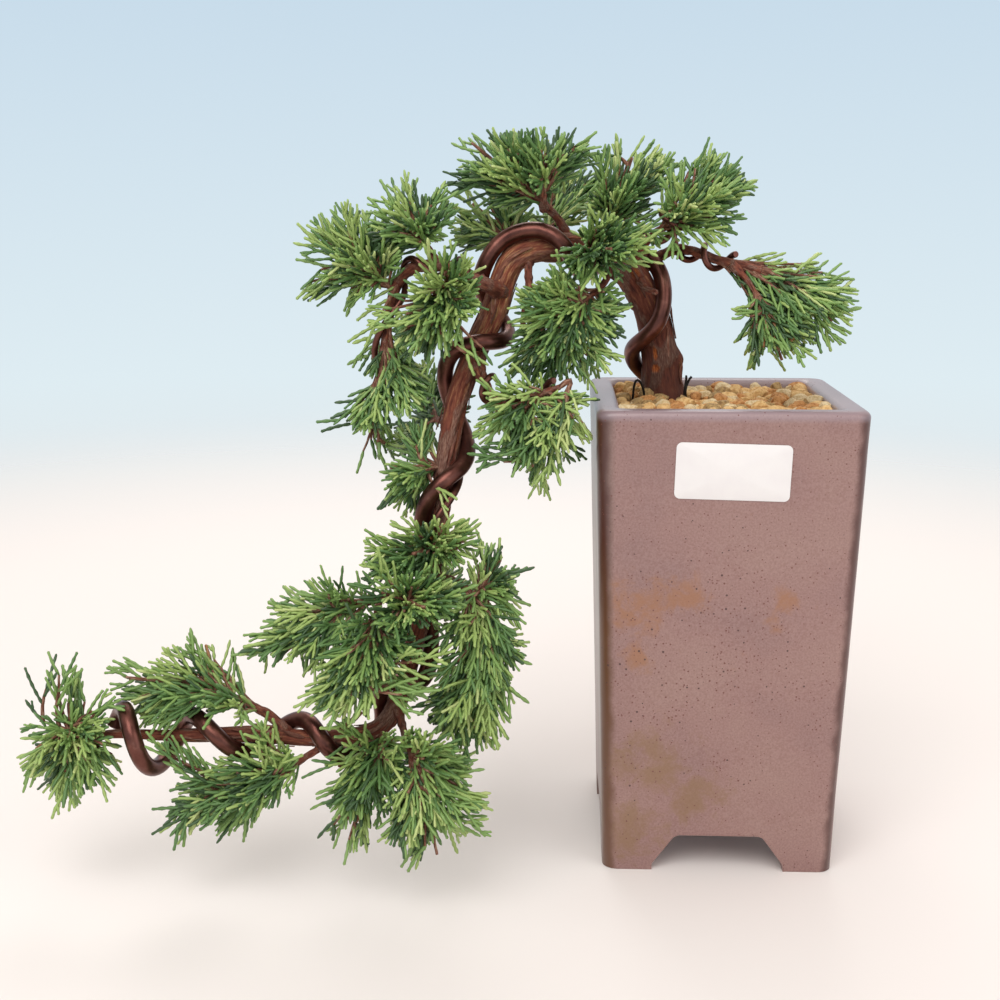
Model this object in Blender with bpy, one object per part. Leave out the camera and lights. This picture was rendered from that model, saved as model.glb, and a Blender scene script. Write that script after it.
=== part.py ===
"""Cascade juniper bonsai in a tall square pot, wound with thick anodised wire.

Sizes are in millimetres, in the pot's own axes: the origin is on the ground under the middle of
the pot, +X is to the right of the front view, -Y is to the front and +Z is up. The meshes are
written in metres, and the last step moves the origin to the bottom centre of the whole plant.
"""
import math
import random

import bmesh
import bpy
import numpy as np
from mathutils import Vector

MM = 0.001
GAP = 0.3                 # left between two pieces that touch
UP = Vector((0, 0, 1))
FRONT = Vector((0, -1, 0))

# Pot: a tall tapering square on four corner feet
POT_HEIGHT = 173
POT_RIM_HALF = 47.5       # half the width over the rim
POT_BASE_HALF = 42.5      # half the width over the feet
POT_WALL = 9
POT_CORNER = 5.5          # radius of the upright corners
POT_EDGE = 2.5            # rounding of the rim
POT_FLOOR = 22            # height of the inside floor
FOOT_GAP_HEIGHT = 14
FOOT_GAP_TOP = 16         # half width of the gap between two feet, at its top
FOOT_GAP_BASE = 24.3      # and where it meets the ground
DRAIN_RADIUS = 8
DRAIN_SIDES = 16
CORNER_STEPS = 3

# Soil: fills the pot, with a bumpy top of coarse grit
SOIL_LEVEL = 168.5
SOIL_BUMP = 1.6
SOIL_CELLS = 10
SOIL_CALM = 21            # flat ground around the trunk's foot

# Trunk: x, y, z and diameter, from the flat cut on the soil to the tip of the tail
TRUNK = [
    (-20, 8, SOIL_LEVEL + GAP, 14.0),
    (-25, 5, 200, 12.2),
    (-38, 0, 221, 10.6),
    (-60, -4, 227, 10.0),
    (-77, -8, 222, 9.5),
    (-85, -13, 202, 9.0),
    (-96, -22, 177, 8.0),
    (-101, -32, 149, 7.0),
    (-103, -41, 122, 6.0),
    (-109, -48, 97, 6.2),
    (-116, -56, 71, 6.4),
    (-125, -60, 60, 6.2),
    (-144, -62, 58, 5.8),
    (-168, -64, 60, 5.4),
    (-190, -66, 60, 4.3),
    (-212, -68, 61, 3.2),
    (-223, -68, 60, 2.3),
]
# Each piece of the trunk, from one place on the list above to the next: it is split at its bends
TRUNK_PIECES = {
    "trunk_foot": (0, 2),
    "trunk_arch": (2, 4.4),
    "trunk_drop": (4.4, 11),
    "trunk_tail": (11, 16),
}
TRUNK_STEP = 9
TRUNK_SIDES = 12
BARK_RIDGE = 0.06         # height of the bark's ridges, as a share of the radius
ROOT_FLARE = 2.6
ROOT_FLARE_RISE = 7
KNOB_SIZE = 2.4           # the stub of an old branch on the right of the foot
KNOB_HEIGHT = 16
KNOB_ANGLE = -1.35

# Boughs: points from inside the parent to the tip, then the diameters at the two ends
BOUGHS = {
    "bough_apex": ([(-56, -1, 227), (-61, -3, 237), (-70, -10, 245), (-79, -12, 252)], 3.4, 1.8),
    "bough_apex_right": ([(-66, -7, 241), (-66, -15, 245), (-65, -19, 255)], 2.2, 1.4),
    "bough_right": ([(-33, 4, 214), (-26, 9, 221), (-16, 1, 226), (-4, -9, 223), (12, -14, 219)], 4.0, 3.0),
    "bough_right_down": ([(2, -12, 221), (8, -17, 214), (11, -20, 208)], 2.0, 1.4),
    "bough_right_upper": ([(-34, 1, 218), (-28, -6, 230), (-21, -14, 236), (-14, -16, 241)], 3.0, 1.8),
    "bough_under": ([(-90, -17, 189), (-86, -30, 180), (-79, -36, 174), (-60, -38, 180)], 3.4, 2.0),
    "bough_hang": ([(-42, -1, 222), (-44, -14, 215), (-52, -21, 208), (-58, -23, 202)], 2.8, 1.8),
    "bough_left": ([(-82, -12, 211), (-88, -22, 215), (-102, -21, 221), (-118, -20, 215), (-125, -24, 179)],
                   5.0, 2.8),
    "bough_left_top": ([(-104, -18, 221), (-107, -21, 227), (-110, -22, 232)], 2.4, 1.6),
    "bough_low_left": ([(-107, -45, 105), (-120, -57, 108), (-134, -62, 106), (-144, -64, 103)], 3.4, 1.8),
    "bough_low_right": ([(-105, -44, 112), (-95, -53, 113), (-88, -58, 106), (-86, -60, 93)], 3.0, 1.8),
    "bough_bottom": ([(-117, -57, 69), (-112, -69, 60), (-107, -76, 49)], 3.0, 1.8),
    "bough_tail_upper": ([(-155, -62, 59), (-161, -62, 66), (-170, -62, 71), (-180, -62, 76)], 3.6, 2.1),
    "bough_tail_lower": ([(-138, -62, 58), (-149, -66, 52), (-162, -70, 43)], 2.6, 2.0),
    "bough_back_top": ([(-62, -4, 227), (-66, 16, 232), (-64, 27, 236)], 3.0, 1.8),
    "bough_back_drop": ([(-99, -26, 165), (-105, -6, 163), (-109, 6, 162)], 3.0, 1.8),
}
BOUGH_STEP = 6
BOUGH_SIDES = 6

# Wire: place on the trunk's list, angle round the trunk in degrees (0 is the front), slack
WIRE = 6.0                # diameter of the wire on the trunk
WIRE_SIDES = 8
WIRE_STEP = 6.8
WIRE_WINDING = [
    (0.06, 205, 0),
    (0.65, 90, 0),
    (1.0, 0, 0),
    (1.7, -100, 0),
    (3.0, -360, 0),
    (3.75, -432, 0),
    (4.5, -465, 0),
    (5.15, -630, 0),
    (5.75, -810, 0),
    (6.78, -990, 0),
    (7.7, -1170, 0),
    (9.5, -1350, 0),
    (9.95, -1530, 0),
    (11.45, -1710, 0),
    (12.2, -1890, 0),
    (13.0, -2070, 0),
    (13.8, -2250, 0.5),
    (14.4, -2430, 6),
    (14.95, -2610, 4),
    (15.3, -2690, 0.5),
]
# Each piece of the wire, as first and last place on the winding's list
WIRE_PIECES = {"wire_foot": (0, 3), "wire_arch": (3, 7), "wire_drop": (7, 13), "wire_tail": (13, 19)}

# Thinner wires: parent limb, diameter, then start, end and angles, as on the thick wire
THIN_WIRES = {
    "wire_second": ("trunk", 3.0, [(6.95, -960, 0), (7.56, -1080, 0), (7.95, -1140, 0)]),
    "wire_right": ("bough_right", 2.4, [(1.9, 90, 0.3), (3.35, -620, 0.3)]),
    "wire_right_upper": ("bough_right_upper", 2.4, [(1.0, 90, 1.0), (2.9, -640, 2.5)]),
    "wire_under": ("bough_under", 2.4, [(0.9, 90, 0.4), (2.9, -640, 0.4)]),
    "wire_left": ("bough_left", 2.4, [(0.8, 210, 0.3), (3.8, -870, 0.3)]),
}
THIN_STEP = 3.7
THIN_SIDES = 6

# Foliage masses: root (a bough's tip or a point in a limb), centre, half widths, number of sprays
MASSES = {
    "foliage_apex": ("bough_apex", (-85, -12, 258), (18, 13, 15), 6),
    "foliage_apex_right": ("bough_apex_right", (-61, -19, 257), (11, 12, 15), 6),
    "foliage_top_right": ((-46, -2, 225), (-38, -2, 249), (21, 14, 19), 7),
    "foliage_top_front": ((-52, -3, 226), (-45, -27, 227), (16, 11, 13), 6),
    "foliage_right_upper": ("bough_right_upper", (-11, -16, 245), (19, 13, 18), 7),
    "foliage_right_far": ("bough_right", (29, -14, 207), (20, 14, 18), 7),
    "foliage_right_down": ("bough_right_down", (16, -22, 196), (15, 12, 16), 6),
    "foliage_left_top": ("bough_left_top", (-113, -22, 237), (17, 13, 14), 7),
    "foliage_left_outer": ((-119, -20, 212), (-136, -21, 224), (20, 14, 19), 7),
    "foliage_left_inner": ((-100, -21, 219), (-101, -35, 206), (21, 13, 20), 7),
    "foliage_left_mid": ("bough_left", (-125, -27, 170), (18, 13, 22), 7),
    "foliage_drop_left": ((-100, -31, 150), (-112, -38, 151), (16, 13, 17), 6),
    "foliage_hang": ("bough_hang", (-56, -24, 197), (25, 12, 22), 7),
    "foliage_under": ("bough_under", (-66, -38, 162), (21, 12, 20), 8),
    "foliage_centre": ((-74, -7, 224), (-88, 8, 238), (16, 12, 14), 5),
    "foliage_sprig": ((-103, -40, 124), (-107, -56, 125), (22, 10, 11), 6),
    "foliage_low_middle": ((-115, -54, 108), (-108, -71, 110), (17, 10, 13), 6),
    "foliage_low_left": ("bough_low_left", (-148, -64, 97), (22, 13, 16), 7),
    "foliage_low_centre": ((-122, -58, 108), (-125, -77, 90), (20, 13, 20), 7),
    "foliage_low_right": ((-90, -57, 109), (-84, -52, 113), (14, 13, 15), 6),
    "foliage_low_hang": ("bough_low_right", (-90, -60, 79), (19, 13, 25), 7),
    "foliage_bottom_left": ((-121, -59, 64), (-127, -70, 44), (19, 13, 26), 7),
    "foliage_bottom": ("bough_bottom", (-104, -77, 37), (20, 13, 28), 8),
    "foliage_tail_end": ("trunk", (-231, -68, 62), (19, 14, 29), 8),
    "foliage_tail_upper": ("bough_tail_upper", (-192, -62, 78), (24, 13, 14), 7),
    "foliage_tail_lower": ("bough_tail_lower", (-172, -70, 43), (27, 13, 19), 7),
    "foliage_back_top": ("bough_back_top", (-60, 34, 244), (22, 15, 17), 5),
    "foliage_back_drop": ("bough_back_drop", (-112, 19, 160), (18, 15, 22), 5),
    "foliage_back_low": ((-107, -46, 105), (-110, -20, 92), (20, 14, 22), 5),
}
STEM_RADIUS = 1.5         # at its root; a stem keeps two fifths of that at its tip
STEM_SIDES = 3
STEM_REACH = 0.45         # how far past the middle of its mass a stem grows
SPRAY_THICK = 1.5
SPRAY_RIB = 0.9          # half width of a spray's rib
SPRAY_LEAF = 29           # length of the leafy end of a full spray
SPRAY_LEAFY = 0.88        # and its largest share of a short one
SPRAY_HALF = 6.4          # half its width there
SPRAY_TOOTH = 8         # how far its teeth stand out
SPRAY_SHRINK = (1.0, 0.86, 0.72, 0.58)
SPRAY_CLEAR = 0.6         # kept between a spray and any limb
SPRAY_APART = 1.5         # and between two sprays, away from their roots
SPRAY_TESTS = (0.2, 0.3, 0.45, 0.6, 0.75, 0.9)    # places along a spray where its room is tested
SPRAY_ROOT = 5            # sprays may meet this close to their roots
SPRAY_TRIES = 12
SPRAY_SLANT = 0.6         # share of its length that a spray's root lies back along the stem
SPRAY_BACK = -0.8         # sprays that point further back than this towards the root are left out
FREE_OF_POT = 2
SPACE_EDGE = 1.2         # how far a tooth may stand out of its mass's space
SHARE_MARGIN = 0.05       # kept between two masses, as a share of their size


def material(name, colour, roughness, metallic=0.0):
    """Return a Principled material."""
    new = bpy.data.materials.new(name)
    new.use_nodes = True
    shader = new.node_tree.nodes["Principled BSDF"]
    shader.inputs["Base Color"].default_value = (*colour, 1)
    shader.inputs["Roughness"].default_value = roughness
    shader.inputs["Metallic"].default_value = metallic
    return new


def mesh_object(name, verts, faces, finish):
    """Make an object from points in millimetres, with its faces turned outwards."""
    mesh = bpy.data.meshes.new(name)
    mesh.from_pydata([tuple(Vector(v) * MM) for v in verts], [], faces)
    bm = bmesh.new()
    bm.from_mesh(mesh)
    bmesh.ops.recalc_face_normals(bm, faces=bm.faces)
    bm.to_mesh(mesh)
    bm.free()
    mesh.materials.append(finish)
    obj = bpy.data.objects.new(name, mesh)
    bpy.context.scene.collection.objects.link(obj)
    return obj


def smooth(obj, angle=math.radians(40)):
    obj.data.shade_smooth()
    obj.data.set_sharp_from_angle(angle=angle)


def catmull(points, place):
    """Read a smooth curve through points (of any length) at a place counted in points."""
    last = len(points) - 1
    i = min(int(place), last - 1)
    t = place - i
    a, b, c, d = (np.array(points[min(max(k, 0), last)], float) for k in (i - 1, i, i + 1, i + 2))
    return 0.5 * (2 * b + (c - a) * t + (2 * a - 5 * b + 4 * c - d) * t**2 + (3 * b - a - 3 * c + d) * t**3)


def stations(points, start, end, step):
    """Places on the curve through points, from start to end, about `step` apart."""
    fine = np.linspace(start, end, 40 * len(points))
    line = np.array([catmull(points, p)[:3] for p in fine])
    along = np.concatenate([[0], np.cumsum(np.linalg.norm(np.diff(line, axis=0), axis=1))])
    count = max(2, round(along[-1] / step))
    return list(np.interp(np.linspace(0, along[-1], count + 1), along, fine))


def frames(line):
    """Tangent, front and side directions along a line, turning as little as they can."""
    found = []
    front = FRONT
    for i, point in enumerate(line):
        tangent = (line[min(i + 1, len(line) - 1)] - line[max(i - 1, 0)]).normalized()
        if abs(front.dot(tangent)) > 0.97:
            front = UP
        front = (front - tangent * front.dot(tangent)).normalized()
        found.append((tangent, front, front.cross(tangent)))
    return found


def loft(rings):
    """Points and faces of a closed tube through rings of equally many points."""
    sides = len(rings[0])
    verts = [v for ring in rings for v in ring]
    faces = []
    for r in range(len(rings) - 1):
        for s in range(sides):
            n = (s + 1) % sides
            faces.append((r * sides + s, r * sides + n, (r + 1) * sides + n, (r + 1) * sides + s))
    faces.append(tuple(range(sides)))
    faces.append(tuple(range(len(verts) - sides, len(verts))))
    return verts, faces


def ring(centre, front, side, radius, sides):
    """A ring of points; the radius is a number, or a function of the angle."""
    points = []
    for k in range(sides):
        angle = 2 * math.pi * k / sides
        r = radius(angle) if callable(radius) else radius
        points.append(centre + (front * math.cos(angle) + side * math.sin(angle)) * r)
    return points


# Solid limbs and wires, as points with radii, for the foliage to keep clear of
limb_points = []


def remember(line, radii):
    limb_points.extend((*p, r) for p, r in zip(line, radii))


def clearance(points):
    """Distance from each point to the nearest limb's or wire's surface."""
    limbs = np.array(limb_points)
    away = np.linalg.norm(np.array(points)[:, None, :] - limbs[None, :, :3], axis=2)
    return (away - limbs[:, 3]).min(axis=1)


# ---------------------------------------------------------------- pot and soil

def pot_half(z):
    """Half the pot's outside width at a height."""
    return POT_BASE_HALF + (POT_RIM_HALF - POT_BASE_HALF) * z / POT_HEIGHT


def rounded_square(half, corner, z):
    points = []
    for quarter in range(4):
        for k in range(CORNER_STEPS + 1):
            angle = math.radians(90) * (quarter + k / CORNER_STEPS)
            sx, sy = ((1, 1), (-1, 1), (-1, -1), (1, -1))[quarter]
            points.append((sx * (half - corner) + corner * math.cos(angle),
                           sy * (half - corner) + corner * math.sin(angle), z))
    return points


def prism_along(name, axis):
    """Cutter for the gap between the feet, right through the pot along X or Y."""
    profile = [(-FOOT_GAP_BASE, -1), (FOOT_GAP_BASE, -1), (FOOT_GAP_TOP, FOOT_GAP_HEIGHT),
               (-FOOT_GAP_TOP, FOOT_GAP_HEIGHT)]
    rings = []
    for end in (-POT_RIM_HALF, POT_RIM_HALF):
        rings.append([(end, w, h) if axis == "X" else (w, end, h) for w, h in profile])
    verts, faces = loft(rings)
    return mesh_object(name, verts, faces, clay)


def cut(obj, cutter):
    cutter.hide_render = True
    cutter.display_type = 'WIRE'
    boolean = obj.modifiers.new(cutter.name, 'BOOLEAN')
    boolean.operation = 'DIFFERENCE'
    boolean.object = cutter


def build_pot():
    rings = []
    for z in (0, FOOT_GAP_HEIGHT, POT_HEIGHT / 2):
        rings.append(rounded_square(pot_half(z), POT_CORNER, z))
    for k in range(4):
        turn = math.radians(30 * k)
        z = POT_HEIGHT - POT_EDGE * (1 - math.sin(turn))
        rings.append(rounded_square(pot_half(z) - POT_EDGE * (1 - math.cos(turn)), POT_CORNER, z))
    inner_corner = POT_CORNER - 2
    for k in range(3, -1, -1):
        turn = math.radians(30 * k)
        z = POT_HEIGHT - POT_EDGE * (1 - math.sin(turn))
        inner_half = pot_half(z) - POT_WALL + POT_EDGE * (1 - math.cos(turn))
        rings.append(rounded_square(inner_half, inner_corner, z))
    rings.append(rounded_square(pot_half(POT_FLOOR) - POT_WALL, inner_corner, POT_FLOOR))
    verts, faces = loft(rings)
    pot = mesh_object("pot", verts, faces, clay)
    cut(pot, prism_along("foot_gap_x", "X"))
    cut(pot, prism_along("foot_gap_y", "Y"))
    right = Vector((1, 0, 0))
    drain = [ring(Vector((0, 0, z)), FRONT, right, DRAIN_RADIUS, DRAIN_SIDES) for z in (5, POT_FLOOR + 5)]
    cut(pot, mesh_object("drain", *loft(drain), clay))
    smooth(pot)


def build_soil():
    """A block that fills the pot, with a grid of seeded bumps on top."""
    rng = random.Random(11)
    corner = POT_CORNER - 2

    def inside(x, y, half):
        ix, iy = (min(max(v, corner - half), half - corner) for v in (x, y))
        out = Vector((x - ix, y - iy))
        if out.length > corner:
            out = out.normalized() * corner
        return ix + out.x, iy + out.y

    half = pot_half(SOIL_LEVEL) - POT_WALL - GAP - 0.2
    row = SOIL_CELLS + 1
    verts = []
    for j in range(row):
        for i in range(row):
            x, y = inside((2 * i / SOIL_CELLS - 1) * half, (2 * j / SOIL_CELLS - 1) * half, half)
            calm = min(1, math.dist((x, y), TRUNK[0][:2]) / SOIL_CALM) > 0.99
            verts.append((x, y, SOIL_LEVEL + (rng.uniform(-SOIL_BUMP, SOIL_BUMP) if calm else 0)))
    faces = []
    for j in range(SOIL_CELLS):
        for i in range(SOIL_CELLS):
            k = j * row + i
            faces.append((k, k + 1, k + row + 1, k + row))
    edge = [i for i in range(SOIL_CELLS)]
    edge += [j * row + SOIL_CELLS for j in range(SOIL_CELLS)]
    edge += [SOIL_CELLS * row + i for i in range(SOIL_CELLS, 0, -1)]
    edge += [j * row for j in range(SOIL_CELLS, 0, -1)]
    base = len(verts)
    shrink = (pot_half(POT_FLOOR) - POT_WALL - GAP - 0.2) / half
    for k in edge:
        verts.append((verts[k][0] * shrink, verts[k][1] * shrink, POT_FLOOR + GAP))
    for k, near in enumerate(edge):
        n = (k + 1) % len(edge)
        faces.append((near, edge[n], base + n, base + k))
    faces.append(tuple(range(base, base + len(edge))))
    mesh_object("soil", verts, faces, grit)


# ---------------------------------------------------------------- trunk and boughs

def bark_radius(radius, along, height):
    """Radius round the trunk at a distance along it: ridges, root flare and an old stub."""
    def at(angle):
        ridges = math.sin(3 * angle + along * 0.11) + 0.6 * math.sin(5 * angle - along * 0.07)
        r = radius * (1 + BARK_RIDGE * ridges / 1.6)
        r += ROOT_FLARE * math.exp(-height / ROOT_FLARE_RISE) * (0.7 + 0.3 * math.cos(4 * angle + 1))
        away = math.remainder(angle - KNOB_ANGLE, 2 * math.pi) / 0.5
        r += KNOB_SIZE * math.exp(-away**2 - ((height - KNOB_HEIGHT) / 4)**2)
        return r
    return at


def build_trunk():
    """Rings along the whole trunk, cut into its pieces with a gap where they meet."""
    for name, (start, end) in TRUNK_PIECES.items():
        places = stations(TRUNK, start, end, TRUNK_STEP)
        rings = []
        line, radii = [], []
        for place in places:
            at, front, side, radius = trunk_frame(place)
            if place in (start, end) and place not in (0, len(TRUNK) - 1):
                away = front.cross(side) * (GAP / 2)
                at = at - away if place == start else at + away
            if place == 0:
                front, side = FRONT, Vector((-1, 0, 0))
            height = at.z - SOIL_LEVEL if start == 0 else 99
            rings.append(ring(at, front, side, bark_radius(radius, place * 30, height), TRUNK_SIDES))
            line.append(at)
            radii.append(radius * (1 + BARK_RIDGE))
        smooth(mesh_object(name, *loft(rings), bark))
        fine = stations(TRUNK, start, end, 2.5)
        remember([Vector(catmull(TRUNK, p)[:3]) for p in fine],
                 [catmull(TRUNK, p)[3] / 2 * (1 + BARK_RIDGE) for p in fine])


def trunk_frame(place):
    """Middle, front, side and radius of the trunk at a place on its list."""
    at = catmull(TRUNK, place)
    before = Vector(catmull(TRUNK, max(place - 0.05, 0))[:3])
    after = Vector(catmull(TRUNK, min(place + 0.05, len(TRUNK) - 1))[:3])
    tangent = (after - before).normalized()
    front = (FRONT - tangent * FRONT.dot(tangent)).normalized()
    return Vector(at[:3]), front, front.cross(tangent), at[3] / 2


def build_bough(name, route, first, last):
    """One tapering limb that starts just clear of its parent."""
    places = stations(route, 0, len(route) - 1, BOUGH_STEP / 3)
    line = [Vector(catmull(route, p)) for p in places]
    top = len(line) - 1
    radii = [(first + (last - first) * i / top) / 2 for i in range(top + 1)]
    rings = [ring(at, front, side, radii[i], BOUGH_SIDES)
             for i, (at, (_, front, side)) in enumerate(zip(line, frames(line)))]
    begin = next(i for i in range(top) if clearance(rings[i]).min() > GAP)
    keep = sorted(set([*range(begin, top, 3), top]))
    smooth(mesh_object(name, *loft([rings[i] for i in keep]), bark))
    remember(line[begin:], radii[begin:])


# ---------------------------------------------------------------- wires

def parent_frame(parent, place):
    if parent == "trunk":
        return trunk_frame(place)
    route, first, last = BOUGHS[parent]
    near = [Vector(catmull(route, min(max(place + d, 0), len(route) - 1))) for d in (-0.1, 0, 0.1)]
    tangent = (near[2] - near[0]).normalized()
    front = (FRONT - tangent * FRONT.dot(tangent)).normalized()
    radius = (first + (last - first) * place / (len(route) - 1)) / 2
    return near[1], front, front.cross(tangent), radius


def winding_line(parent, winding, thickness, step):
    """Points on a wire wound round its parent, and each point's place on the winding's list."""
    def on_wire(place):
        at_place, angle, slack = catmull(winding, place)
        at, front, side, radius = parent_frame(parent, at_place)
        grown = radius * (1 + (BARK_RIDGE if parent == "trunk" else 0))
        if parent == "trunk":
            height = at.z - SOIL_LEVEL if at_place < 2 else 99
            grown += ROOT_FLARE * math.exp(-height / ROOT_FLARE_RISE)
        reach = grown + GAP + thickness / 2 + max(slack, 0)
        turn = math.radians(angle)
        return at + (front * math.cos(turn) + side * math.sin(turn)) * reach

    fine = np.linspace(0, len(winding) - 1, 60 * len(winding))
    line = [on_wire(p) for p in fine]
    along = np.concatenate([[0], np.cumsum([(b - a).length for a, b in zip(line, line[1:])])])
    count = max(2, round(along[-1] / step))
    places = np.interp(np.linspace(0, along[-1], count + 1), along, fine)
    return [on_wire(p) for p in places], places


def wire_rings(line, thickness, sides):
    return [ring(at, front, side, thickness / 2, sides) for at, (_, front, side) in zip(line, frames(line))]


def build_wires():
    """The thick wire, cut into its pieces and flat where it enters the soil, then the thinner ones."""
    line, places = winding_line("trunk", WIRE_WINDING, WIRE, WIRE_STEP)
    rings = wire_rings(line, WIRE, WIRE_SIDES)
    remember(line, [WIRE / 2] * len(line))
    for point in rings[0]:
        point.z = SOIL_LEVEL + GAP
    for name, (start, end) in WIRE_PIECES.items():
        first, last = (min(range(len(places)), key=lambda i: abs(places[i] - p)) for p in (start, end))
        piece = rings[first:last + 1]
        if start > 0:
            apart_by = (line[first + 1] - line[first - 1]).normalized() * GAP
            piece[0] = [point + apart_by for point in piece[0]]
        smooth(mesh_object(name, *loft(piece), anodised))
    for name, (parent, thickness, winding) in THIN_WIRES.items():
        line, _ = winding_line(parent, winding, thickness, THIN_STEP)
        remember(line, [thickness / 2] * len(line))
        smooth(mesh_object(name, *loft(wire_rings(line, thickness, THIN_SIDES)), anodised))


# ---------------------------------------------------------------- foliage

centres = np.array([spec[1] for spec in MASSES.values()], float)
halves = np.array([spec[2] for spec in MASSES.values()], float)


def in_own_space(points, own):
    """Whether every point is in its own mass's space, and nearer to it than to any other."""
    share = np.linalg.norm((np.array(points)[:, None, :] - centres) / halves, axis=2)
    mine = share[:, own]
    others = np.delete(share, own, axis=1).min(axis=1)
    return (mine < SPACE_EDGE).all() and (mine + SHARE_MARGIN < others).all()


def off_pot(points):
    """Whether every point is above the ground and outside the pot."""
    for x, y, z in points:
        over_pot = z > POT_HEIGHT + FREE_OF_POT
        beside_pot = max(abs(x), abs(y)) > pot_half(z) + FREE_OF_POT
        if z < FREE_OF_POT or not (over_pot or beside_pot):
            return False
    return True


def apart(points, taken):
    """Whether points keep their distance from those of the sprays already there."""
    if not taken:
        return True
    away = np.linalg.norm(np.array(points)[:, None, :] - np.array(taken)[None, :, :], axis=2)
    return away.min() > SPRAY_APART


def spray(root, tip, flat):
    """A spray: a flat rib from root to tip, with pairs of pointed teeth along its leafy end."""
    length = (tip - root).length
    run = (tip - root).normalized()
    wide = flat.cross(run).normalized()
    thick = run.cross(wide) * (SPRAY_THICK / 2)
    leafy = min(SPRAY_LEAF, length * SPRAY_LEAFY)
    size = leafy / SPRAY_LEAF
    marks = [0, length - leafy, length - leafy * 0.66, length - leafy * 0.3]
    widths = [SPRAY_RIB, SPRAY_RIB, SPRAY_HALF * size, SPRAY_HALF * size * 0.8]
    verts = []
    for mark, width in zip(marks, widths):
        for w, t in ((-1, -1), (1, -1), (1, 1), (-1, 1)):
            verts.append(root + run * mark + wide * (w * width) + thick * t)
    faces = [(0, 1, 2, 3)]
    for k in range(len(marks) - 1):
        low, high = 4 * k, 4 * k + 4
        faces.append((low, low + 1, high + 1, high))
        faces.append((low + 3, low + 2, high + 2, high + 3))
        for side, (a, b) in ((1, (1, 2)), (-1, (0, 3))):
            corners = (low + a, low + b, high + b, high + a)
            if k == 0:
                faces.append(corners)
                continue
            out = widths[k + 1] + SPRAY_TOOTH * size * (1 if k == 1 else 0.8)
            verts.append(root + run * (marks[k + 1] + leafy * 0.15) + wide * (side * out))
            faces += [(corners[i], corners[(i + 1) % 4], len(verts) - 1) for i in range(4)]
    verts.append(tip)
    last = 4 * (len(marks) - 1)
    faces += [(last + i, last + (i + 1) % 4, len(verts) - 1) for i in range(4)]
    return verts, faces


def stem_line(root, centre, halves_of_mass):
    """A stem from its root through the middle of its mass; a root in a limb starts clear of it."""
    if isinstance(root, str):
        end, before = bough_tip(root)
        start = end + (end - before).normalized() * (2 * GAP)
        bend = start + (end - before).normalized() * 4
    else:
        start = Vector(root)
        bend = start.lerp(Vector(centre), 0.4)
    middle = Vector(centre)
    run = (middle - start).normalized()
    reach = Vector([run[i] * halves_of_mass[i] for i in range(3)]) * STEM_REACH
    route = [tuple(start), tuple(bend), tuple(middle), tuple(middle + reach)]
    return [Vector(catmull(route, p)) for p in stations(route, 0, 3, 1.5)]


def bough_tip(name):
    route = [t[:3] for t in TRUNK] if name == "trunk" else BOUGHS[name][0]
    last = len(route) - 1
    return Vector(catmull(route, last)), Vector(catmull(route, last - 0.1))


def spray_root(line, tip):
    """The point on a stem that a spray grows from, some way back so that it leaves at a slant."""
    near = min(range(len(line)), key=lambda i: (line[i] - tip).length)
    back = SPRAY_SLANT * (line[near] - tip).length
    while near > 4 and (line[near] - tip).length ** 2 < (line[0] - tip).length ** 2 and back > 0:
        back -= (line[near] - line[near - 1]).length
        near -= 1
    return line[min(max(near, 4), len(line) - 2)]


def build_mass(index, name, root, centre, half, count):
    """Fuse a stem and its sprays, each with its tip on the outside of the mass's space."""
    rng = random.Random(100 + index)
    line = stem_line(root, centre, half)
    begin = 0
    if not isinstance(root, str):
        begin = next(i for i in range(len(line)) if clearance([line[i]])[0] > GAP + STEM_RADIUS)
    line = line[begin:]
    radii = [STEM_RADIUS * (1 - 0.6 * i / (len(line) - 1)) for i in range(len(line))]
    rings = [ring(at, front, side, radius, STEM_SIDES)
             for at, (_, front, side), radius in zip(line, frames(line), radii)]
    keep = sorted(set([*range(0, len(line), 6), len(line) - 1]))
    stem = mesh_object(name, *loft([rings[i] for i in keep]), leaf)
    run = (line[-1] - line[0]).normalized()
    parts = bpy.data.collections.new(name)
    taken = []
    for k in range(SPRAY_TRIES * count):
        if len(parts.objects) >= count:
            break
        z = 1 - 2 * ((k * 0.618 + 0.31) % 1)
        turn = 2.39996 * k + rng.uniform(-0.2, 0.2)
        flat_part = math.sqrt(max(0, 1 - z * z))
        way = Vector((flat_part * math.cos(turn), flat_part * math.sin(turn), z))
        if way.dot(run) < SPRAY_BACK:
            continue
        tip = Vector(centre) + Vector([way[i] * half[i] for i in range(3)])
        base = spray_root(line, tip)
        flat = UP * 0.45 + FRONT * rng.uniform(0.6, 1.4) + Vector((rng.uniform(-0.5, 0.5), 0, 0))
        flat.normalize()
        for shrink in SPRAY_SHRINK:
            verts, faces = spray(base, base.lerp(tip, shrink), flat)
            tests = verts + [base.lerp(tip, shrink * t) for t in SPRAY_TESTS]
            tests += [verts[i].lerp(verts[i + 4], 0.5) for i in (4, 5, 8, 9)]
            free = off_pot(tests) and clearance(tests).min() > SPRAY_CLEAR
            if free and in_own_space(tests, index) and apart(tests, taken):
                part = mesh_object(f"{name}_{k}", verts, faces, leaf)
                bpy.context.scene.collection.objects.unlink(part)
                parts.objects.link(part)
                taken += [p for p in tests if (p - base).length > SPRAY_ROOT]
                break
    fuse(stem, parts)


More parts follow.
